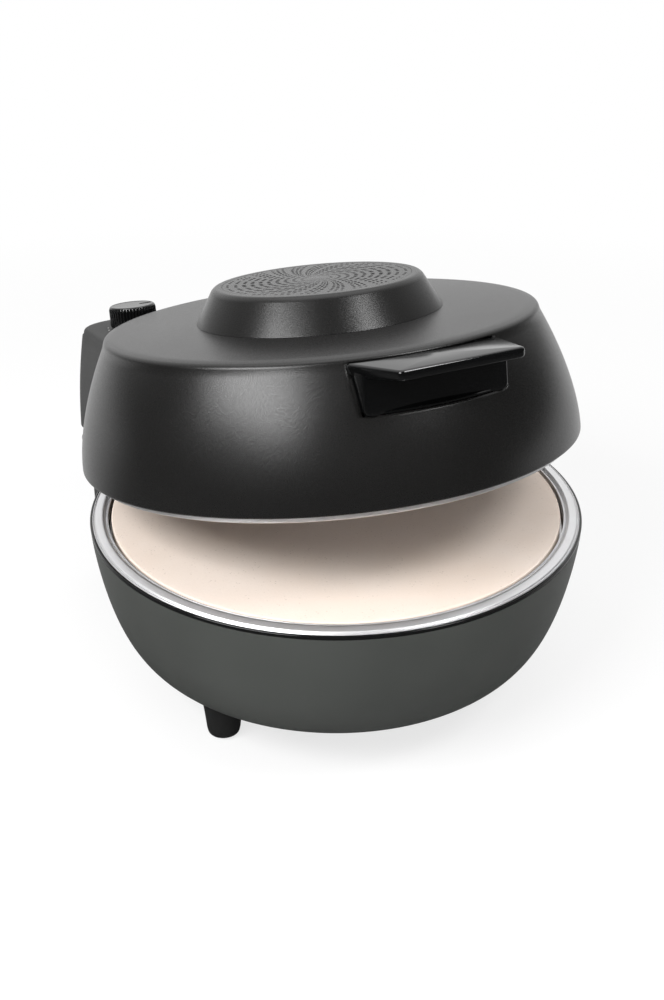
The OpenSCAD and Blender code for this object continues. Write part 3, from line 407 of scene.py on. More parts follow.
def make_stone(name, base):
    """Pressed cordierite: a warm cream ground with faint darker clouds, sparse small grains and open pores."""
    f = Finish(name, IOR=1.45)
    cloud = f.noise(11.0, 4.0, 0.6)
    grain = f.noise(650.0, 4.0, 0.65)
    pores = f.node("ShaderNodeTexVoronoi", {"feature": "F1"}, {"Vector": f.place(), "Scale": 420.0}, "Distance")
    pore = f.remap(pores, 0.10, 0.24, 1.0, 0.0) * f.remap(f.noise(120.0, 2.0), 0.5, 0.62, 0.0, 1.0)
    clouded = (base[0] * 0.96, base[1] * 0.93, base[2] * 0.90)
    ground = f.mix(f.remap(cloud, 0.35, 0.7, 0.0, 1.0), base, clouded)
    toned = f.mix(f.remap(grain, 0.55, 0.75, 0.0, 0.5), ground, shade(base, 0.9))
    return f.feed(
        Base_Color=f.mix(pore * 0.45, toned, (0.42, 0.34, 0.27)),
        Roughness=f.vary(grain, 0.72, 0.9),
        Normal=f.bump(grain - pore * 0.8, 0.00018, 0.5))


def make_fibre(name, base):
    """Needled fibre felt: short crossing hairs in tone and height."""
    f = Finish(name, IOR=1.4)
    hairs = f.noise(240.0, 4.0, 0.7, vector=f.place(scale=(1.0, 6.0, 1.0)))
    cross = f.noise(240.0, 4.0, 0.7, vector=f.place(scale=(6.0, 1.0, 1.0)))
    both = hairs * cross
    return f.feed(
        Base_Color=f.mix(f.remap(both, 0.15, 0.4, 0.0, 1.0), shade(base, 0.72), base),
        Roughness=f.remap(both, 0.1, 0.4, 0.85, 0.98),
        Normal=f.bump(both, 0.0008, 0.6))


def make_rubber(name, base):
    """Dark rubber: a fine matte grain with dusty patches."""
    f = Finish(name, IOR=1.5)
    grain = f.noise(1300.0, 3.0, 0.6)
    dust = f.noise(90.0, 3.0)
    return f.feed(
        Base_Color=f.mix(f.remap(dust, 0.5, 0.8, 0.0, 0.5), base, shade(base, 2.0)),
        Roughness=f.vary(grain, 0.7, 0.88),
        Normal=f.bump(grain, 0.00008, 0.6))


def make_finishes():
    """Makes every finish once, from the finish settings."""
    s = settings("oven_finish")
    FINISHES.update({
        "lid_paint": make_satin_paint("satin_black_paint", tuple(s.black_paint), 0.28),
        "bowl_paint": make_satin_paint("satin_grey_paint", tuple(s.grey_paint), 0.46),
        "gloss": make_gloss_plastic("gloss_black_plastic", tuple(s.gloss_black)),
        "knob": make_gloss_plastic("knob_plastic", tuple(s.gloss_black), 0.16),
        "moulded": make_matte_plastic("moulded_grey_plastic", tuple(s.grey_plastic), 0.58),
        "foot": make_matte_plastic("foot_plastic", shade(s.grey_plastic, 0.7), 0.5),
        "rim": make_turned_metal("spun_rim_aluminium", tuple(s.aluminium), 0.42),
        "pan": make_turned_metal("pan_aluminium", shade(s.aluminium, 0.92), 0.24, stroke=0.7),
        "steel": make_machine_metal("plated_steel", tuple(s.steel)),
        "dark_steel": make_machine_metal("blackened_steel", shade(s.steel, 0.16), 0.42),
        "heater": make_heater_metal("heater_oxide"),
        "stone": make_stone("baking_stone_cordierite", tuple(s.stone)),
        "fibre": make_fibre("fibre_felt", tuple(s.fibre)),
        "rubber": make_rubber("pad_rubber", tuple(s.rubber)),
        "white": make_matte_plastic("white_plastic", tuple(s.white), 0.5, grain=0.00003),
    })


# ---- Meshes ----

WIDE_SIDES = 240  # sides of the widest turned pieces


def place(points, on_lid=False):
    """Bowl-frame millimetres to row-frame metres. A lid point is first turned about the hinge line:
    its distances from the line in Y and Z are rotated by the opening angle, front upwards."""
    p = np.array(points, dtype=float)
    if on_lid:
        turn = math.radians(-LID_OPEN)
        y, z = p[..., 1] - HINGE_REACH, p[..., 2] + HINGE_DROP
        p[..., 1] = HINGE_REACH + y * math.cos(turn) - z * math.sin(turn)
        p[..., 2] = -HINGE_DROP + y * math.sin(turn) + z * math.cos(turn)
    return (p + (0.0, AXIS_Y, RIM_Z)) / 1000


def grid_part(grid, wrap_u=False, wrap_v=False, keep=None):
    """Points on a grid as vertices, and a four-sided face for each cell. A wrapped side joins its last row to
    its first, and keep is a mask of the cells that stay."""
    nu, nv = grid.shape[:2]
    index = np.arange(nu * nv).reshape(nu, nv)
    if wrap_u:
        index = np.concatenate([index, index[:1]], 0)
    if wrap_v:
        index = np.concatenate([index, index[:, :1]], 1)
    cells = np.stack([index[:-1, :-1], index[1:, :-1], index[1:, 1:], index[:-1, 1:]], -1)
    if keep is not None:
        cells = cells[keep]
    return grid.reshape(-1, 3), cells.reshape(-1, 4)


def full_turn(sides):
    """The angles of a full turn, as a column."""
    return np.linspace(0, 2 * np.pi, sides, endpoint=False)[:, None]


def turned(r, z, angle, centre=(0.0, 0.0)):
    """Points at radii, heights and angles about an upright axis: x = r sin a and y = -r cos a from its centre,
    so that angle 0 is the front."""
    return np.stack([centre[0] + r * np.sin(angle), centre[1] - r * np.cos(angle), z + 0 * angle], -1)


def lathe(outline, sides=180, centre=(0.0, 0.0), closed=True):
    """A closed outline of (radius, height) points turned about an upright axis, or an open one, whose ends lie
    on the axis or meet another part."""
    r, z = np.asarray(outline, dtype=float).T
    return grid_part(turned(r, z, full_turn(sides), centre), True, closed)


def stack(layers):
    """Closed outlines of equal length, one above the other, joined into a side with a fan at each end:
    the fans are rings shrunk onto the middle of the first and the last outline."""
    layers = np.asarray(layers, dtype=float)
    low = np.broadcast_to(layers[0].mean(0), layers[0].shape)
    high = np.broadcast_to(layers[-1].mean(0), layers[-1].shape)
    return grid_part(np.concatenate([low[None], layers, high[None]], 0).transpose(1, 0, 2), True, False)


def rounded(points, cut, steps=5, closed=True):
    """A polyline with its corners rounded: each corner becomes a parabola between two points that lie the cut
    distance from it along its two edges, at most just under half an edge. There is one cut for each corner, or
    one for all."""
    p = np.asarray(points, dtype=float)
    cut = np.array(np.broadcast_to(cut, len(p)), dtype=float)
    if not closed:
        cut[[0, -1]] = 0
    to_last, to_next = np.roll(p, 1, 0) - p, np.roll(p, -1, 0) - p
    last, following = np.linalg.norm(to_last, axis=1), np.linalg.norm(to_next, axis=1)
    reach = np.minimum(cut, 0.48 * np.minimum(last, following))[:, None]
    start, end = p + to_last / last[:, None] * reach, p + to_next / following[:, None] * reach
    t = np.linspace(0, 1, steps)[None, :, None]
    curve = (1 - t) ** 2 * start[:, None] + 2 * t * (1 - t) * p[:, None] + t ** 2 * end[:, None]
    curve = curve.reshape(-1, p.shape[1])
    step = np.linalg.norm(np.diff(curve, axis=0), axis=1)
    return curve[np.concatenate([[True], step > 1e-4])]


def add_piece(name, parts, finish, body, nodes=(), closed=True, sharp=32.0):
    """Joins parts into one mesh, turned with the lid unless it is on the base, gives it its finish and its
    body, and hides the CAD nodes that it stands for."""
    points, faces, start = [], [], 0
    for part_points, part_faces in parts:
        points.append(place(part_points, on_lid=body != "base"))
        faces.append(part_faces + start)
        start += len(part_points)
    points, faces = np.concatenate(points), np.concatenate(faces)
    mesh = bpy.data.meshes.new(name)
    mesh.vertices.add(len(points))
    mesh.vertices.foreach_set("co", points.astype(np.float32).ravel())
    mesh.loops.add(faces.size)
    mesh.loops.foreach_set("vertex_index", faces.astype(np.int32).ravel())
    mesh.polygons.add(len(faces))
    mesh.polygons.foreach_set("loop_start", np.arange(0, faces.size, 4, dtype=np.int32))
    mesh.update(calc_edges=True)
    return finish_piece(bpy.data.objects.new(name, mesh), finish, body, nodes, closed, sharp)


def finish_piece(piece, finish, body, nodes, closed, sharp):
    """Links a new object, merges its doubles, points a closed one's faces outwards, smooths it up to the sharp
    angle, gives it its finish, parents it to the empty of its body and hides the CAD nodes that it stands for."""
    bpy.context.scene.collection.objects.link(piece)
    mesh = piece.data
    work = bmesh.new()
    work.from_mesh(mesh)
    bmesh.ops.remove_doubles(work, verts=work.verts, dist=2e-6)
    bmesh.ops.dissolve_degenerate(work, edges=work.edges, dist=1e-7)
    if closed:
        bmesh.ops.recalc_face_normals(work, faces=work.faces)
    work.to_mesh(mesh)
    work.free()
    mesh.polygons.foreach_set("use_smooth", np.ones(len(mesh.polygons), dtype=bool))
    mesh.set_sharp_from_angle(angle=math.radians(sharp))
    mesh.materials.clear()
    mesh.materials.append(FINISHES[finish])
    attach(piece, body)
    if nodes:
        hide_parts(*nodes)
    return piece


def polished(node, finish, body, bevel=0.0):
    """A smooth copy of a CAD node: its loose triangles are merged, flat faces are joined again, and its edges
    may be broken by a narrow bevel."""
    piece = bpy.data.objects.new(node + "_finished", frame["nodes"][node].data.copy())
    work = bmesh.new()
    work.from_mesh(piece.data)
    bmesh.ops.remove_doubles(work, verts=work.verts, dist=1e-6)
    if bevel:
        bmesh.ops.dissolve_limit(work, angle_limit=math.radians(1.0), verts=work.verts, edges=work.edges)
    work.to_mesh(piece.data)
    work.free()
    piece = finish_piece(piece, finish, body, (node,), closed=False, sharp=25.0)
    if bevel:
        edge = piece.modifiers.new("edge", "BEVEL")
        edge.width = bevel / 1000
        edge.segments = 2
        edge.limit_method = "ANGLE"
        edge.angle_limit = math.radians(40)
        edge.harden_normals = True
    return piece


def add_wall(piece, thickness):
    """Gives an open shell a wall on its inner side, in millimetres."""
    wall = piece.modifiers.new("wall", "SOLIDIFY")
    wall.thickness = thickness / 1000
    wall.offset = -1


# ---- Shape formulas ----

def bowl_side(steps=60, drawn_in=0.0):
    """The bowl's side from its upper edge to its flat bottom, an uneven superellipse: with a from 0 to a
    quarter turn, radius = floor + (bowl - floor) cos(a)^(2/square), depth = full depth sin(a)^(2/swell)."""
    s = settings("oven_base")
    a = np.linspace(0, np.pi / 2, steps)
    across = np.cos(a).clip(0) ** (2 / s.square)
    down = np.sin(a) ** (2 / s.swell)
    low = FLOOR_Z + drawn_in
    radius = s.floor_radius + (s.bowl_radius - drawn_in - s.floor_radius) * across
    return np.stack([radius, -s.lip_height + (low + s.lip_height) * down], 1)


def bowl_underside(radius):
    """Height of the bowl's outer surface at a radius: the superellipse solved for the depth."""
    s = settings("oven_base")
    out = ((np.maximum(radius, s.floor_radius) - s.floor_radius) / (s.bowl_radius - s.floor_radius)).clip(0, 1)
    return -s.lip_height + (FLOOR_Z + s.lip_height) * (1 - out ** s.square) ** (1 / s.swell)


def lid_side_radius(z):
    """Radius of the lid's side at a height: the shoulder's radius less a power curve of the height."""
    s = settings("oven_lid")
    start, span = 9.6, s.height - 11.6
    return s.radius - (s.radius - s.top_radius) * (np.maximum(z - start, 0) / span) ** s.curve


def lid_top_height(r):
    """Height of the lid's top at a radius: a shallow parabola that falls from the middle to the edge."""
    s = settings("oven_lid")
    return s.height + s.crown * (1 - (r / s.top_radius) ** 2)


def lid_profile():
    """The lid shell's outer face as (radius, height), from its lower edge over the side and the rounded upper
    edge to the hole under the vent cap. One row lies just below the handle, where the cut for it starts."""
    s, h = settings("oven_lid"), settings("oven_handle")
    side_end, hole = s.height - 6.0, 56.0
    low = [(s.radius - 1.7, 7.62), (s.radius - 1.0, 7.68), (s.radius - 0.35, 8.3), (s.radius - 0.05, 9.0)]
    z = np.unique(np.concatenate([np.linspace(9.8, side_end, 34), [h.body_low - 0.1]]))
    side = np.stack([lid_side_radius(z), z], 1)
    corner = [(lid_side_radius(side_end), side_end), (s.top_radius + 0.75, s.height - 1.0),
              (s.top_radius - 5.0, lid_top_height(s.top_radius - 5.0))]
    edge = rounded(corner, 5.2, 9, closed=False)[1:]
    r = np.linspace(s.top_radius - 8.0, hole, 16)
    return np.concatenate([low, side, edge, np.stack([r, lid_top_height(r)], 1)])


# ---- Operators: the base ----

FEET = {"front_left": -67.6, "front_right": 67.6, "rear_left": -150.0, "rear_right": 150.0}


class OVEN_OT_bowl(bpy.types.Operator):
    """Build the painted bowl: a thin turned shell with a service opening in its flat bottom"""
    bl_idname = "oven.bowl"
    bl_label = "Bowl"

    def execute(self, context):
        wall, opening = 1.2, 70.0
        bottom = [(96.0, FLOOR_Z), (84.0, FLOOR_Z), (opening + 0.3, FLOOR_Z), (opening, FLOOR_Z + 0.3),
                  (opening, FLOOR_Z + wall)]
        outline = np.concatenate([bowl_side(), bottom, bowl_side(drawn_in=wall)[::-1]])
        add_piece("bowl", [lathe(outline, WIDE_SIDES)], "bowl_paint", "base", ("base_shell",))
        return {"FINISHED"}


class OVEN_OT_rim(bpy.types.Operator):
    """Build the gloss lip, the spun rim with its raised bead and sloping channel, and the reflector pan"""
    bl_idname = "oven.rim"
    bl_label = "Rim and lip"

    def execute(self, context):
        s = settings("oven_base")
        bowl, lip, rim, lip_low = s.bowl_radius, s.lip_radius, s.rim_radius, 0.1 - s.lip_height
        lip_outline = rounded([
            (bowl - 2.0, lip_low), (lip, lip_low), (lip, 0.0), (rim + 0.1, 0.0), (rim + 0.1, -1.3),
            (bowl - 2.0, -1.3)],
            [0.2, 0.9, 0.9, 0.1, 0.1, 0.1], 7)
        add_piece("lip", [lathe(lip_outline, WIDE_SIDES)], "gloss", "base", ("lip_trim",))
        # The rim's top: its rolled edge, the raised bead, the slope of the channel and the lip round the stone.
        wall, bed, floor = s.stone_radius + 2.2, s.stone_rise - 10.0, -40.0
        top = rounded([
            (rim, 0.02), (rim - 0.5, 0.75), (rim - 1.3, 0.1), (rim - 2.1, 1.15), (rim - 6.3, 2.35),
            (rim - 7.4, 2.35), (wall + 0.9, 0.0), (wall + 0.55, 0.9), (wall, 0.9)],
            [0, 0.35, 0.4, 0.5, 0.45, 0.5, 0.25, 0.2, 0], 5, closed=False)
        rim_outline = np.concatenate([top, top[::-1] - (0.0, 0.75)])
        add_piece("rim", [lathe(rim_outline, WIDE_SIDES)], "rim", "base", ("rim_ring",))
        # The pan: a wall beside the stone, the ledge that carries it, and a slope to the flat middle.
        sheet, cuts = 0.8, [0, 1.0, 2.0, 5.0, 0]
        inner = rounded([
            (wall, -0.72), (wall, bed), (wall - 10.8, bed), (wall - 32.4, floor + sheet), (0, floor + sheet)],
            cuts, 6, closed=False)
        outer = rounded([
            (wall + sheet, -0.72), (wall + sheet, bed - sheet), (wall - 10.0, bed - sheet),
            (wall - 32.0, floor), (0, floor)], cuts, 6, closed=False)
        pan = np.concatenate([inner, outer[::-1]])
        add_piece("pan", [lathe(pan)], "pan", "base", ("stone_pan",))
        return {"FINISHED"}


class OVEN_OT_stone(bpy.types.Operator):
    """Build the round baking stone with its softly broken edges"""
    bl_idname = "oven.stone"
    bl_label = "Baking stone"

    def execute(self, context):
        s = settings("oven_base")
        thickness = 10.0
        r, top, low = s.stone_radius, s.stone_rise, s.stone_rise - thickness
        face = [(x, top) for x in np.linspace(0, r - 6, 14)]
        side = rounded([(r - 4, top), (r, top), (r, low), (r - 4, low)], 1.3, 7, closed=False)
        outline = np.concatenate([face, side, [(0, low)]])
        add_piece("stone", [lathe(outline, WIDE_SIDES)], "stone", "base", ("baking_stone",))
        return {"FINISHED"}


class OVEN_OT_feet(bpy.types.Operator):
    """Build the four tapered feet, cut to the bowl's underside, with their rubber pads"""
    bl_idname = "oven.feet"
    bl_label = "Feet"

    def execute(self, context):
        ring = settings("oven_base").foot_ring
        # The leg widens upwards, and its top is the lower of its own height and the bowl's underside.
        table = -RIM_Z
        leg = rounded([
            (0, table + 3.1), (8.1, table + 3.1), (8.1, table + 1.2), (10.4, table + 1.2), (11.25, table + 4.6),
            (12.4, table + 17.0), (13.9, table + 29.0), (14.0, table + 38.0), (0, table + 38.0)],
            [0, 0.3, 0.3, 1.1, 2.2, 3, 1.5, 0, 0], 6)
        pad = rounded([(0, table), (7.6, table), (8.0, table + 0.5), (8.0, table + 3.0), (0, table + 3.0)],
                      [0, 0.3, 0.3, 0.1, 0], 4)
        for side, angle in FEET.items():
            a = math.radians(angle)
            centre = (ring * math.sin(a), -ring * math.cos(a))
            points, faces = lathe(leg, 72, centre)
            under = np.maximum(bowl_underside(np.hypot(points[:, 0], points[:, 1])) - 0.1, table + 20)
            points[:, 2] = np.minimum(points[:, 2], under)
            add_piece("foot_" + side + "_moulded", [(points, faces)], "foot", "base",
                      ("foot_" + side,))
            add_piece("pad_" + side + "_rubber", [lathe(pad, 48, centre)], "rubber", "base",
                      ("foot_pad_" + side,))
        return {"FINISHED"}


class OVEN_OT_hinge(bpy.types.Operator):
    """Finish the hinge housing, the arms, pins, washers and the cord's inlet"""
    bl_idname = "oven.hinge"
    bl_label = "Hinge and inlet"

    def execute(self, context):
        polished("hinge_housing", "moulded", "base", bevel=0.8)
        polished("cord_gland", "rubber", "base", bevel=0.3)
        polished("terminal_block", "white", "base", bevel=0.3)
        for side in ("left", "right"):
            polished("hinge_pin_" + side, "dark_steel", "base")
            polished("hinge_arm_" + side, "steel", "lid", bevel=0.5)
        polished("hinge_washers", "steel", "base")
        return {"FINISHED"}


# ---- Operators: the lid ----

class OVEN_OT_lid(bpy.types.Operator):
    """Build the lid's painted shell with the cut for the handle, its light ring and its liner"""
    bl_idname = "oven.lid"
    bl_label = "Lid"

    def execute(self, context):
        s, h = settings("oven_lid"), settings("oven_handle")
        # At each height the angles are even within the handle's window and even outside it, so that the sides
        # of the window stand upright.
        handle_cells, other_cells = 40, 240
        r, z = lid_profile().T
        half = np.arcsin((h.body_width + 0.1) / np.maximum(r, 130.0))
        window = np.linspace(-1, 1, handle_cells + 1)[:, None] * half[None]
        rest = half[None] + np.linspace(0, 1, other_cells + 1)[1:-1, None] * (2 * np.pi - 2 * half)[None]
        angle = np.concatenate([window, rest])
        cut = (z[:-1] > h.body_low - 0.2) & (z[1:] < h.top - 0.25) & (r[:-1] > s.top_radius - 0.5)
        keep = np.ones((len(angle), len(r) - 1), dtype=bool)
        keep[:handle_cells, cut] = False
        shell = add_piece("lid_shell_painted", [grid_part(turned(r, z, angle), True, False, keep)], "lid_paint",
                          "lid", ("lid_shell",), closed=False)
        add_wall(shell, s.wall)
        ring = rounded([
            (151.0, 3.3), (159.5, 3.2), (160.4, 3.9), (162.9, 7.5), (161.4, 7.5), (159.2, 4.3), (151.0, 4.3)],
            [0.2, 0.5, 0.5, 0.2, 0.2, 0.3, 0.2], 4)
        add_piece("lid_ring_metal", [lathe(ring, WIDE_SIDES)], "rim", "lid", ("lid_ring",))
        roof, cuts = s.liner_height, [0, 6, 8, 6, 5, 2, 0]
        line = np.array([
            (152.1, 4.3), (149.0, 23.0), (143.0, 42.0), (122.0, 60.0), (106.0, roof), (36.0, roof),
            (32.0, roof + 2.0)])
        outer = rounded(line, cuts, 8, closed=False)
        inner = rounded(line - (0.8, 0.5), cuts, 8, closed=False)
        add_piece("liner_metal", [lathe(np.concatenate([outer, inner[::-1]]))], "pan", "lid", ("lid_liner",))
        return {"FINISHED"}


class OVEN_OT_vent(bpy.types.Operator):
    """Build the conical vent cap and its disc, pierced by swirling arms of small round holes"""
    bl_idname = "oven.vent"
    bl_label = "Vent cap"

    def execute(self, context):
        s = settings("oven_vent")
        foot, head, disc = s.low_radius, s.top_radius, s.disc_radius
        low = float(lid_top_height(foot))
        top = low + s.height
        outside = rounded([
            (foot, low + 0.1), (foot - 0.9, low + 1.7), (head + 0.9, top - 1.9), (head - 1.6, top),
            (disc + 0.1, top), (disc + 0.02, top - 1.3), (disc - 1.5, top - 1.3)],
            [0, 1.3, 2.2, 1.6, 0.05, 0.2, 0], 7, closed=False)
        inside = [(disc - 1.5, top - 2.6), (head - 3.0, top - 2.6), (foot - 3.2, low + 1.7),
                  (foot - 2.4, low + 0.1)]
        add_piece("vent_cap_painted", [lathe(np.concatenate([outside, inside]), 200)], "lid_paint", "lid",
                  ("vent_cap",))
        add_piece("vent_disc", self.disc(s, top - 0.03), "lid_paint", "lid", ("vent_grille",))
        return {"FINISHED"}

    def disc(self, s, top):
        """A polar grid twisted so that its spokes swirl: ring radii grow evenly, and a spoke's angle also turns
        by the swirl times the share of the way out, to a power. Each cell has eight points round its border,
        eight round its hole and eight below those, so that the hole has a short wall. A hole is an ellipse in
        grid directions, smallest next to the middle and the edge. The last spoke of each arm has none: there
        the points of the hole meet in the middle of the cell."""
        spokes_per_arm, squeeze, depth = 4, 0.72, 2.2
        spokes, rings = s.arms * spokes_per_arm, s.rings
        inner, outer, edge = 7.0, s.disc_radius - 1.0, s.disc_radius
        u, v = np.meshgrid(np.arange(spokes), np.arange(rings), indexing="ij")

        def point(a, b):
            """Grid coordinates, spoke and ring, to a place on the disc."""
            share = b / rings
            angle = 2 * np.pi * a / spokes + s.swirl * share ** 0.6
            return turned(inner + (outer - inner) * share, top, angle)

        corner = np.array([(0, 0), (0.5, 0), (1, 0), (1, 0.5), (1, 1), (0.5, 1), (0, 1), (0, 0.5)])
        around = (corner - 0.5) / np.linalg.norm(corner - 0.5, axis=1)[:, None]
        border = point(u[..., None] + corner[:, 0], v[..., None] + corner[:, 1])
        size = np.interp((v + 0.5) / rings, [0.0, 0.12, 0.3, 0.7, 0.9, 1.0], [0.2, 0.3, 0.39, 0.39, 0.3, 0.22])
        size = np.where(u % spokes_per_arm == spokes_per_arm - 1, 0.0, size)[..., None]
        hole = point(u[..., None] + 0.5 + size * around[:, 0],
                     v[..., None] + 0.5 + squeeze * size * around[:, 1])
        points = np.stack([border, hole, hole - (0.0, 0.0, depth)], 3).reshape(-1, 3)
        index = np.arange(len(points)).reshape(-1, 8, 3)
        following = np.roll(index, -1, 1)
        cells = np.stack([index[:, :, :-1], following[:, :, :-1], following[:, :, 1:], index[:, :, 1:]], -1)
        rim = [(outer, top), (edge - 0.2, top), (edge, top - 0.2), (edge, top - 0.9)]
        middle = [(inner, top), (inner * 0.6, top + 0.12), (inner * 0.25, top + 0.2), (0.0, top + 0.22)]
        return [(points, cells.reshape(-1, 4)), lathe(rim, 216, closed=False),
                lathe(middle, spokes * 2, closed=False)]


class OVEN_OT_handle(bpy.types.Operator):
    """Build the gloss shelf handle: a tapered plate over a flat recessed front with splayed cheeks"""
    bl_idname = "oven.handle"
    bl_label = "Handle"

    def execute(self, context):
        h = settings("oven_handle")
        add_piece("handle_moulded", [self.plate(h), self.body(h), self.ledge(h)], "gloss", "lid", ("handle",),
                  sharp=40.0)
        return {"FINISHED"}

    def plate(self, h):
        """Plan outlines of the plate, one above the other, each drawn in by an amount at a share of the
        thickness, so that the edges are quarter circles. The underside sinks towards the lid, and the whole
        plate leans about a line across its middle."""
        drawn = np.array([1.5, 0.8, 0.3, 0.05, 0.0, 0.0, 0.05, 0.3, 0.85, 1.5])
        share = np.array([0.0, 0.05, 0.14, 0.28, 0.45, 0.6, 0.74, 0.87, 0.965, 1.0])
        back, shoulder, leaning_line, sink = -131.0, -133.0, -157.0, 2.6
        layers = []
        for d, t in zip(drawn, share):
            half = [(h.back_width - d, back), (h.back_width - d, shoulder), (h.front_width - d, d - h.reach)]
            plan = rounded([(-x, y) for x, y in half] + half[::-1], [0, 1.0, 3.0, 3.0, 1.0, 0], 7)
            thick = h.thickness + sink * np.clip((h.reach + plan[:, 1]) / (h.reach - h.face), 0, 1)
            lift = h.lean * (plan[:, 1] - leaning_line)
            layers.append(np.column_stack([plan, h.top - thick * (1 - t) + lift]))
        return stack(layers)

    def body(self, h):
        """Outlines of the recessed block, one above the other, drawn in on a quarter circle at its bottom
        corners."""
        corner, back = 4.0, -128.0
        curve = h.body_low + corner * (1 - np.cos(np.linspace(0, np.pi / 2, 8)))
        layers = []
        for z in np.concatenate([curve, [h.body_low + 10, h.top - 5.0]]):
            rise = np.clip((z - h.body_low) / corner, 0, 1)
            w = h.body_width - corner * (1 - math.sqrt(1 - (1 - rise) ** 2))
            plan = rounded([(-w, back), (-w, -h.face), (w, -h.face), (w, back)], [0, 1.6, 1.6, 0], 6)
            layers.append(np.column_stack([plan, np.full(len(plan), z)]))
        return stack(layers)

    def ledge(self, h):
        """The recess's floor: a thin plate from the flat front out to just inside the shell's curved edge."""
        x = np.linspace(-h.body_width + 1.0, h.body_width - 1.0, 41)
        reach = lid_side_radius(h.body_low) - 0.9
        back = np.full_like(x, -h.face + 2.0)
        out = np.minimum(-np.sqrt(reach ** 2 - x ** 2), back - 0.05)
        cross = [(out, 0.0), (out, 1.1), (out + 0.4, 1.5), (back, 1.7), (back, 0.0)]
        grid = np.stack([np.stack([x, y, np.full_like(x, h.body_low + z)], -1) for y, z in cross], 1)
        ends = [np.broadcast_to(grid[k].mean(0), grid[k].shape)[None] for k in (0, -1)]
        return grid_part(np.concatenate([ends[0], grid, ends[1]]), False, True)


class OVEN_OT_control(bpy.types.Operator):
    """Build the control housing behind the lid, with rounded edges and marks round the knob"""
    bl_idname = "oven.control"
    bl_label = "Control housing"
    overlap = 3.0  # how far its sides and its top run in under the lid's surface

    def outline(self, c, rise):
        """An open plan line at a share of the height, from the lid's right side round the rear to its left.
        The side runs straight from where it meets the lid to a corner that is a quarter circle. Going up, the
        half width follows the parabola through its low, middle and top values, so that the sides bulge."""
        bulge = 4 * c.mid_width - 2 * c.low_width - 2 * c.top_width
        rear_w = c.low_width + (c.top_width - c.low_width) * rise + bulge * rise * (1 - rise)
        front_w = rear_w + c.flare * rise
        rear = c.rear + rear_w - c.top_width
        z = c.low + (c.top - c.low) * rise
        front = math.sqrt(max(lid_side_radius(z) ** 2 - front_w ** 2, 0)) - self.overlap
        a = np.linspace(0, np.pi / 2, 14)
        corner = np.stack([rear_w - c.corner + c.corner * np.cos(a), rear - c.corner + c.corner * np.sin(a)], 1)
        side = np.linspace((front_w, front), corner[0], 12, endpoint=False)
        back = np.linspace(corner[-1], (0.0, rear), 14)[1:]
        half = np.concatenate([side, corner, back])
        line = np.concatenate([half, half[:-1][::-1] * (-1, 1)])
        return np.column_stack([line, np.full(len(line), z)])

    def drawn(self, line, amount, lift):
        """The line drawn in towards the housing's middle by an amount, and lifted."""
        middle = (0.0, 60.0, 0.0)
        away = line - middle
        away[:, 2] = 0
        away /= np.linalg.norm(away, axis=1)[:, None]
        return line - away * amount + (0.0, 0.0, lift)

    def marks(self, c):
        """Low dots round the knob, each larger than the last, but for those that would lie under the lid."""
        ring, low = 19.6, c.top + 0.01
        dots = []
        for number, angle in enumerate(np.radians(np.arange(-150, 121, 30))):
            x, y = -c.knob_x + ring * math.sin(angle), c.knob_y - ring * math.cos(angle)
            if math.hypot(x, y) >= lid_side_radius(c.top) + 2.2:
                r = 0.55 + 0.03 * number
                dots.append(lathe([(0, low), (r, low), (r, c.top + 0.08), (0, c.top + 0.1)], 20, (x, y)))
        return dots

    def execute(self, context):
        # Rows run from the bottom edge up the side, over the rounded top edge, and in to a line under the lid.
        c = settings("oven_control")
        rows = [self.outline(c, rise) for rise in np.linspace(0, 1, 16)]
        low, top = rows[0], rows[-1]
        foot_edge, top_edge = 1.6, 3.6
        turn = np.linspace(0, np.pi / 2, 6)
        foot = [self.drawn(low, foot_edge * (1 - math.sin(t)), foot_edge * (1 - math.cos(t))) for t in turn]
        head = [self.drawn(top, top_edge * (1 - math.cos(t)), -top_edge * (1 - math.sin(t))) for t in turn]
        reach = float(lid_side_radius(c.top)) - self.overlap
        limit = math.asin(min(1.0, (c.top_width + c.flare) / reach))
        share = np.linspace(-1, 1, len(top))
        lid_line = np.stack([
            -reach * np.sin(share * limit), reach * np.cos(share * limit), np.full(len(top), c.top)], 1)
        roof = [head[-1] + (lid_line - head[-1]) * t for t in np.linspace(0, 1, 10)[1:]]
        grid = np.stack(foot + rows[1:-1] + head + roof)
        housing = add_piece("control_housing_moulded", [grid_part(grid[:, ::-1])], "moulded", "lid",
                            ("control_housing",), closed=False)
        add_wall(housing, 2.5)
        add_piece("dial_marks", self.marks(c), "white", "lid", ())
        polished("housing_cover", "moulded", "lid", bevel=0.3)
        return {"FINISHED"}


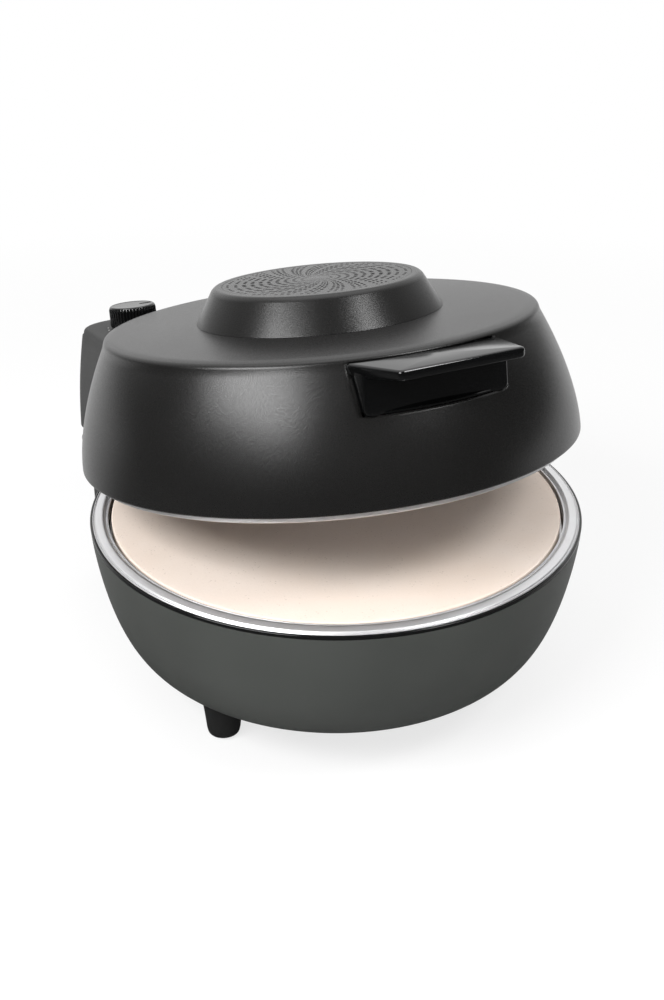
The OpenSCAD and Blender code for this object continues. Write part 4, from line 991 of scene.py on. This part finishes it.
class OVEN_OT_knob(bpy.types.Operator):
    """Build the ribbed knob with its recessed top and its blind bore, its pointer and its steel shaft"""
    bl_idname = "oven.knob"
    bl_label = "Knob"

    def execute(self, context):
        c = settings("oven_control")
        radius, base = c.knob_radius, c.top + 1.0
        top = base + c.knob_height
        shaft, bore_top, rib_depth = 3.2, base + 8.0, 0.75
        sides, centre = c.ribs * 8, (-c.knob_x, c.knob_y)
        angle = full_turn(sides)
        r, z = rounded([
            (shaft, base + 0.2), (radius - 1.2, base + 0.2), (radius - 0.6, base), (radius, base + 0.8),
            (radius - 0.1, top - 2.6), (radius - 0.9, top - 0.5), (radius - 2.0, top),
            (radius - 2.8, top - 0.35), (0.0, top - 0.2)],
            [0, 0.2, 0.2, 0.4, 0.8, 0.8, 0.5, 0.4, 0], 5, closed=False).T
        # Between ribs the radius of the side falls by the depth times 1 - |cos(ribs a / 2)|^1.5.
        wave = np.abs(np.cos(angle * c.ribs / 2)) ** 1.5
        on_side = (r > radius - 0.9) & (z > base + 0.5) & (z < top - 1.6)
        outside = turned(r - rib_depth * (1 - wave) * on_side, z, angle, centre)
        bore = lathe([(0.0, bore_top), (shaft, bore_top), (shaft, base + 0.2)], sides, centre, closed=False)
        add_piece("knob_ribbed", [grid_part(outside, True, False), bore], "knob", "knob", ("knob",),
                  closed=False, sharp=50.0)
        polished("knob_pointer", "knob", "knob")
        polished("thermostat_shaft", "steel", "knob")
        return {"FINISHED"}


class OVEN_OT_inside(bpy.types.Operator):
    """Finish the heaters, blankets, leads, screws and small parts that the shells hide"""
    bl_idname = "oven.inside"
    bl_label = "Inner parts"

    def execute(self, context):
        finishes = {
            "lower_heater": "heater", "upper_heater": "heater", "base_insulation": "fibre",
            "lid_insulation": "fibre", "base_leads": "white", "lid_leads": "white"}
        nodes = {
            "base": ("lower_heater", "lower_heater_clips", "base_insulation", "bottom_plate",
                     "bottom_plate_screws", "foot_screws", "hinge_housing_screws", "base_cutout", "base_leads"),
            "lid": ("upper_heater", "upper_heater_clips", "lid_insulation", "vent_cap_screws",
                    "handle_stiffener", "handle_screws", "housing_screws", "hinge_arm_screws",
                    "thermostat_body", "thermostat_nut", "lid_cutout", "lid_leads")}
        for body, names in nodes.items():
            for node in names:
                polished(node, finishes.get(node, "steel"), body)
        return {"FINISHED"}


# ---- Operator: the stage ----

LAMPS = (  # name, place, point that it is aimed at, width and height in metres, watts
    ("overhead_softbox", (0.10, 0.25, 1.55), (0.0, 0.0, 0.15), (1.5, 1.1), 6.5),
    ("left_softbox", (-0.91, -0.37, 0.97), (0.0, 0.0, 0.20), (0.85, 0.42), 17.0),
    ("right_softbox", (0.41, -0.77, 1.17), (0.0, 0.0, 0.20), (0.32, 0.36), 5.5),
    ("front_fill", (-0.16, -1.17, 1.12), (0.0, -0.05, 0.13), (1.00, 0.80), 5.0),
)


class OVEN_OT_stage(bpy.types.Operator):
    """Build the camera, the pale floor and the soft studio light"""
    bl_idname = "oven.stage"
    bl_label = "Stage"

    def execute(self, context):
        s = settings("oven_stage")
        scene = context.scene
        camera = self.aimed("camera", bpy.data.cameras.new("camera"), s.camera, s.target)
        camera.data.sensor_fit = "AUTO"
        camera.data.sensor_width = 36.0
        camera.data.lens = s.lens
        camera.data.clip_start = 0.01
        scene.camera = camera
        scene.view_settings.view_transform = "Standard"
        self.floor(scene, s)
        self.world(scene, s)
        for name, start, end, size, power in LAMPS:
            lamp = bpy.data.lights.new(name, "AREA")
            lamp.shape = "RECTANGLE"
            lamp.size, lamp.size_y = size
            lamp.energy = power
            self.aimed(name, lamp, start, end).visible_glossy = name != "front_fill"
        return {"FINISHED"}

    def aimed(self, name, data, start, end):
        """A new camera or lamp in one place, turned towards another."""
        holder = bpy.data.objects.new(name, data)
        holder.location = start
        holder.rotation_euler = (Vector(end) - Vector(start)).to_track_quat("-Z", "Y").to_euler()
        bpy.context.scene.collection.objects.link(holder)
        return holder

    def seen(self, f, level, along, low, high, front):
        """The strength of a white surface or room. It is 1 for a camera or transmission ray. A glossy ray sees
        it rise from the front's strength to 1 as along goes from low to high, because the room is white behind
        the object and dark in front. Other rays get the plain level."""
        camera, gloss, through = (f.node("ShaderNodeLightPath", output=name) for name in
                                  ("Is Camera Ray", "Is Glossy Ray", "Is Transmission Ray"))
        straight = f.math("MAXIMUM", camera, through)
        mirrored = f.remap(along, low, high, front, 1.0)
        return straight * (1.0 - level) + gloss * (mirrored - level) + level

    def floor(self, scene, s):
        """The share of plain white in it grows with the distance, and the rest holds the object's shadow. In
        front of the object that rest is dark for a glossy ray, as along grows to the right and the back."""
        low, high, near, far = -0.1, 0.55, 0.35, 1.1
        f = Finish("floor_white", Base_Color=tuple(s.floor))
        f.feed(Roughness=f.vary(f.noise(300.0, 2.0), 0.85, 0.95))
        where = f.node("ShaderNodeTexCoord", output="Object")
        along = f.vector("DOT_PRODUCT", where, (0.7, 1.0, 0.0), output="Value")
        distance = f.vector("LENGTH", where, output="Value")
        share = self.seen(f, 0.0, along, low, high, s.front) * f.remap(distance, near, far, 0.74, 1.0)
        dim = f.node("ShaderNodeLightPath", output="Is Glossy Ray") * f.remap(along, low, high, 0.92, 0.0)
        glow = f.node("ShaderNodeEmission", {}, {"Color": (1.0, 1.0, 1.0), "Strength": 1.0})
        dark = f.node("ShaderNodeEmission", {}, {"Color": (0.0, 0.0, 0.0), "Strength": 0.0})
        ground = f.node("ShaderNodeMixShader", {}, {0: dim, 1: Value(f, f.shader.outputs[0]), 2: dark})
        mix = f.node("ShaderNodeMixShader", {}, {0: share, 1: ground, 2: glow})
        f.put(f.tree.nodes["Material Output"].inputs["Surface"], mix)
        reach = 4.0
        mesh = bpy.data.meshes.new("floor")
        mesh.from_pydata([(x * reach, y * reach, 0) for x, y in ((-1, -1), (1, -1), (1, 1), (-1, 1))],
                         [], [(0, 1, 2, 3)])
        mesh.materials.append(f.material)
        floor = bpy.data.objects.new("floor", mesh)
        floor.location = (0, 0, -0.0004)
        scene.collection.objects.link(floor)

    def world(self, scene, s):
        """White for the camera, and one level of light for the object. Gloss sees it dark in front: along grows
        upwards, to the right and to the back."""
        world = bpy.data.worlds.new("studio")
        scene.world = world
        world.use_nodes = True
        if hasattr(world, "cycles"):
            world.cycles.sampling_method = "NONE"
        n = Nodes(world.node_tree)
        background = n.tree.nodes["Background"]
        background.inputs["Color"].default_value = (1, 1, 1, 1)
        way = n.node("ShaderNodeTexCoord", output="Generated")
        along = n.vector("DOT_PRODUCT", way, (0.35, 1.0, 1.0), output="Value")
        n.put(background.inputs["Strength"], self.seen(n, s.level, along, 0.5, 1.1, s.front))


class OVEN_PT_panel(bpy.types.Panel):
    """Lists the oven's pieces and its settings"""
    bl_idname = "OVEN_PT_panel"
    bl_label = "Pizza Oven"
    bl_space_type = "VIEW_3D"
    bl_region_type = "UI"
    bl_category = "Pizza Oven"

    def draw(self, context):
        for operator in OPERATORS:
            self.layout.operator(operator.bl_idname)
        for name, group in SETTINGS.items():
            box = self.layout.box()
            box.label(text=group.__doc__)
            for key in group.__annotations__:
                box.prop(getattr(context.scene, name), key)


OPERATORS = (
    OVEN_OT_stage, OVEN_OT_bowl, OVEN_OT_rim, OVEN_OT_stone, OVEN_OT_feet, OVEN_OT_hinge, OVEN_OT_lid,
    OVEN_OT_vent, OVEN_OT_handle, OVEN_OT_control, OVEN_OT_knob, OVEN_OT_inside,
)
CLASSES = tuple(SETTINGS.values()) + OPERATORS + (OVEN_PT_panel,)


def register():
    for item in CLASSES:
        bpy.utils.register_class(item)
    for name, group in SETTINGS.items():
        setattr(bpy.types.Scene, name, PointerProperty(type=group))


def unregister():
    for name in SETTINGS:
        delattr(bpy.types.Scene, name)
    for item in reversed(CLASSES):
        bpy.utils.unregister_class(item)


def main():
    """Registers the classes, makes the finishes and builds every piece in order."""
    register()
    make_finishes()
    for operator in OPERATORS:
        group, name = operator.bl_idname.split(".")
        getattr(getattr(bpy.ops, group), name)()


if __name__ == "__main__":
    main()
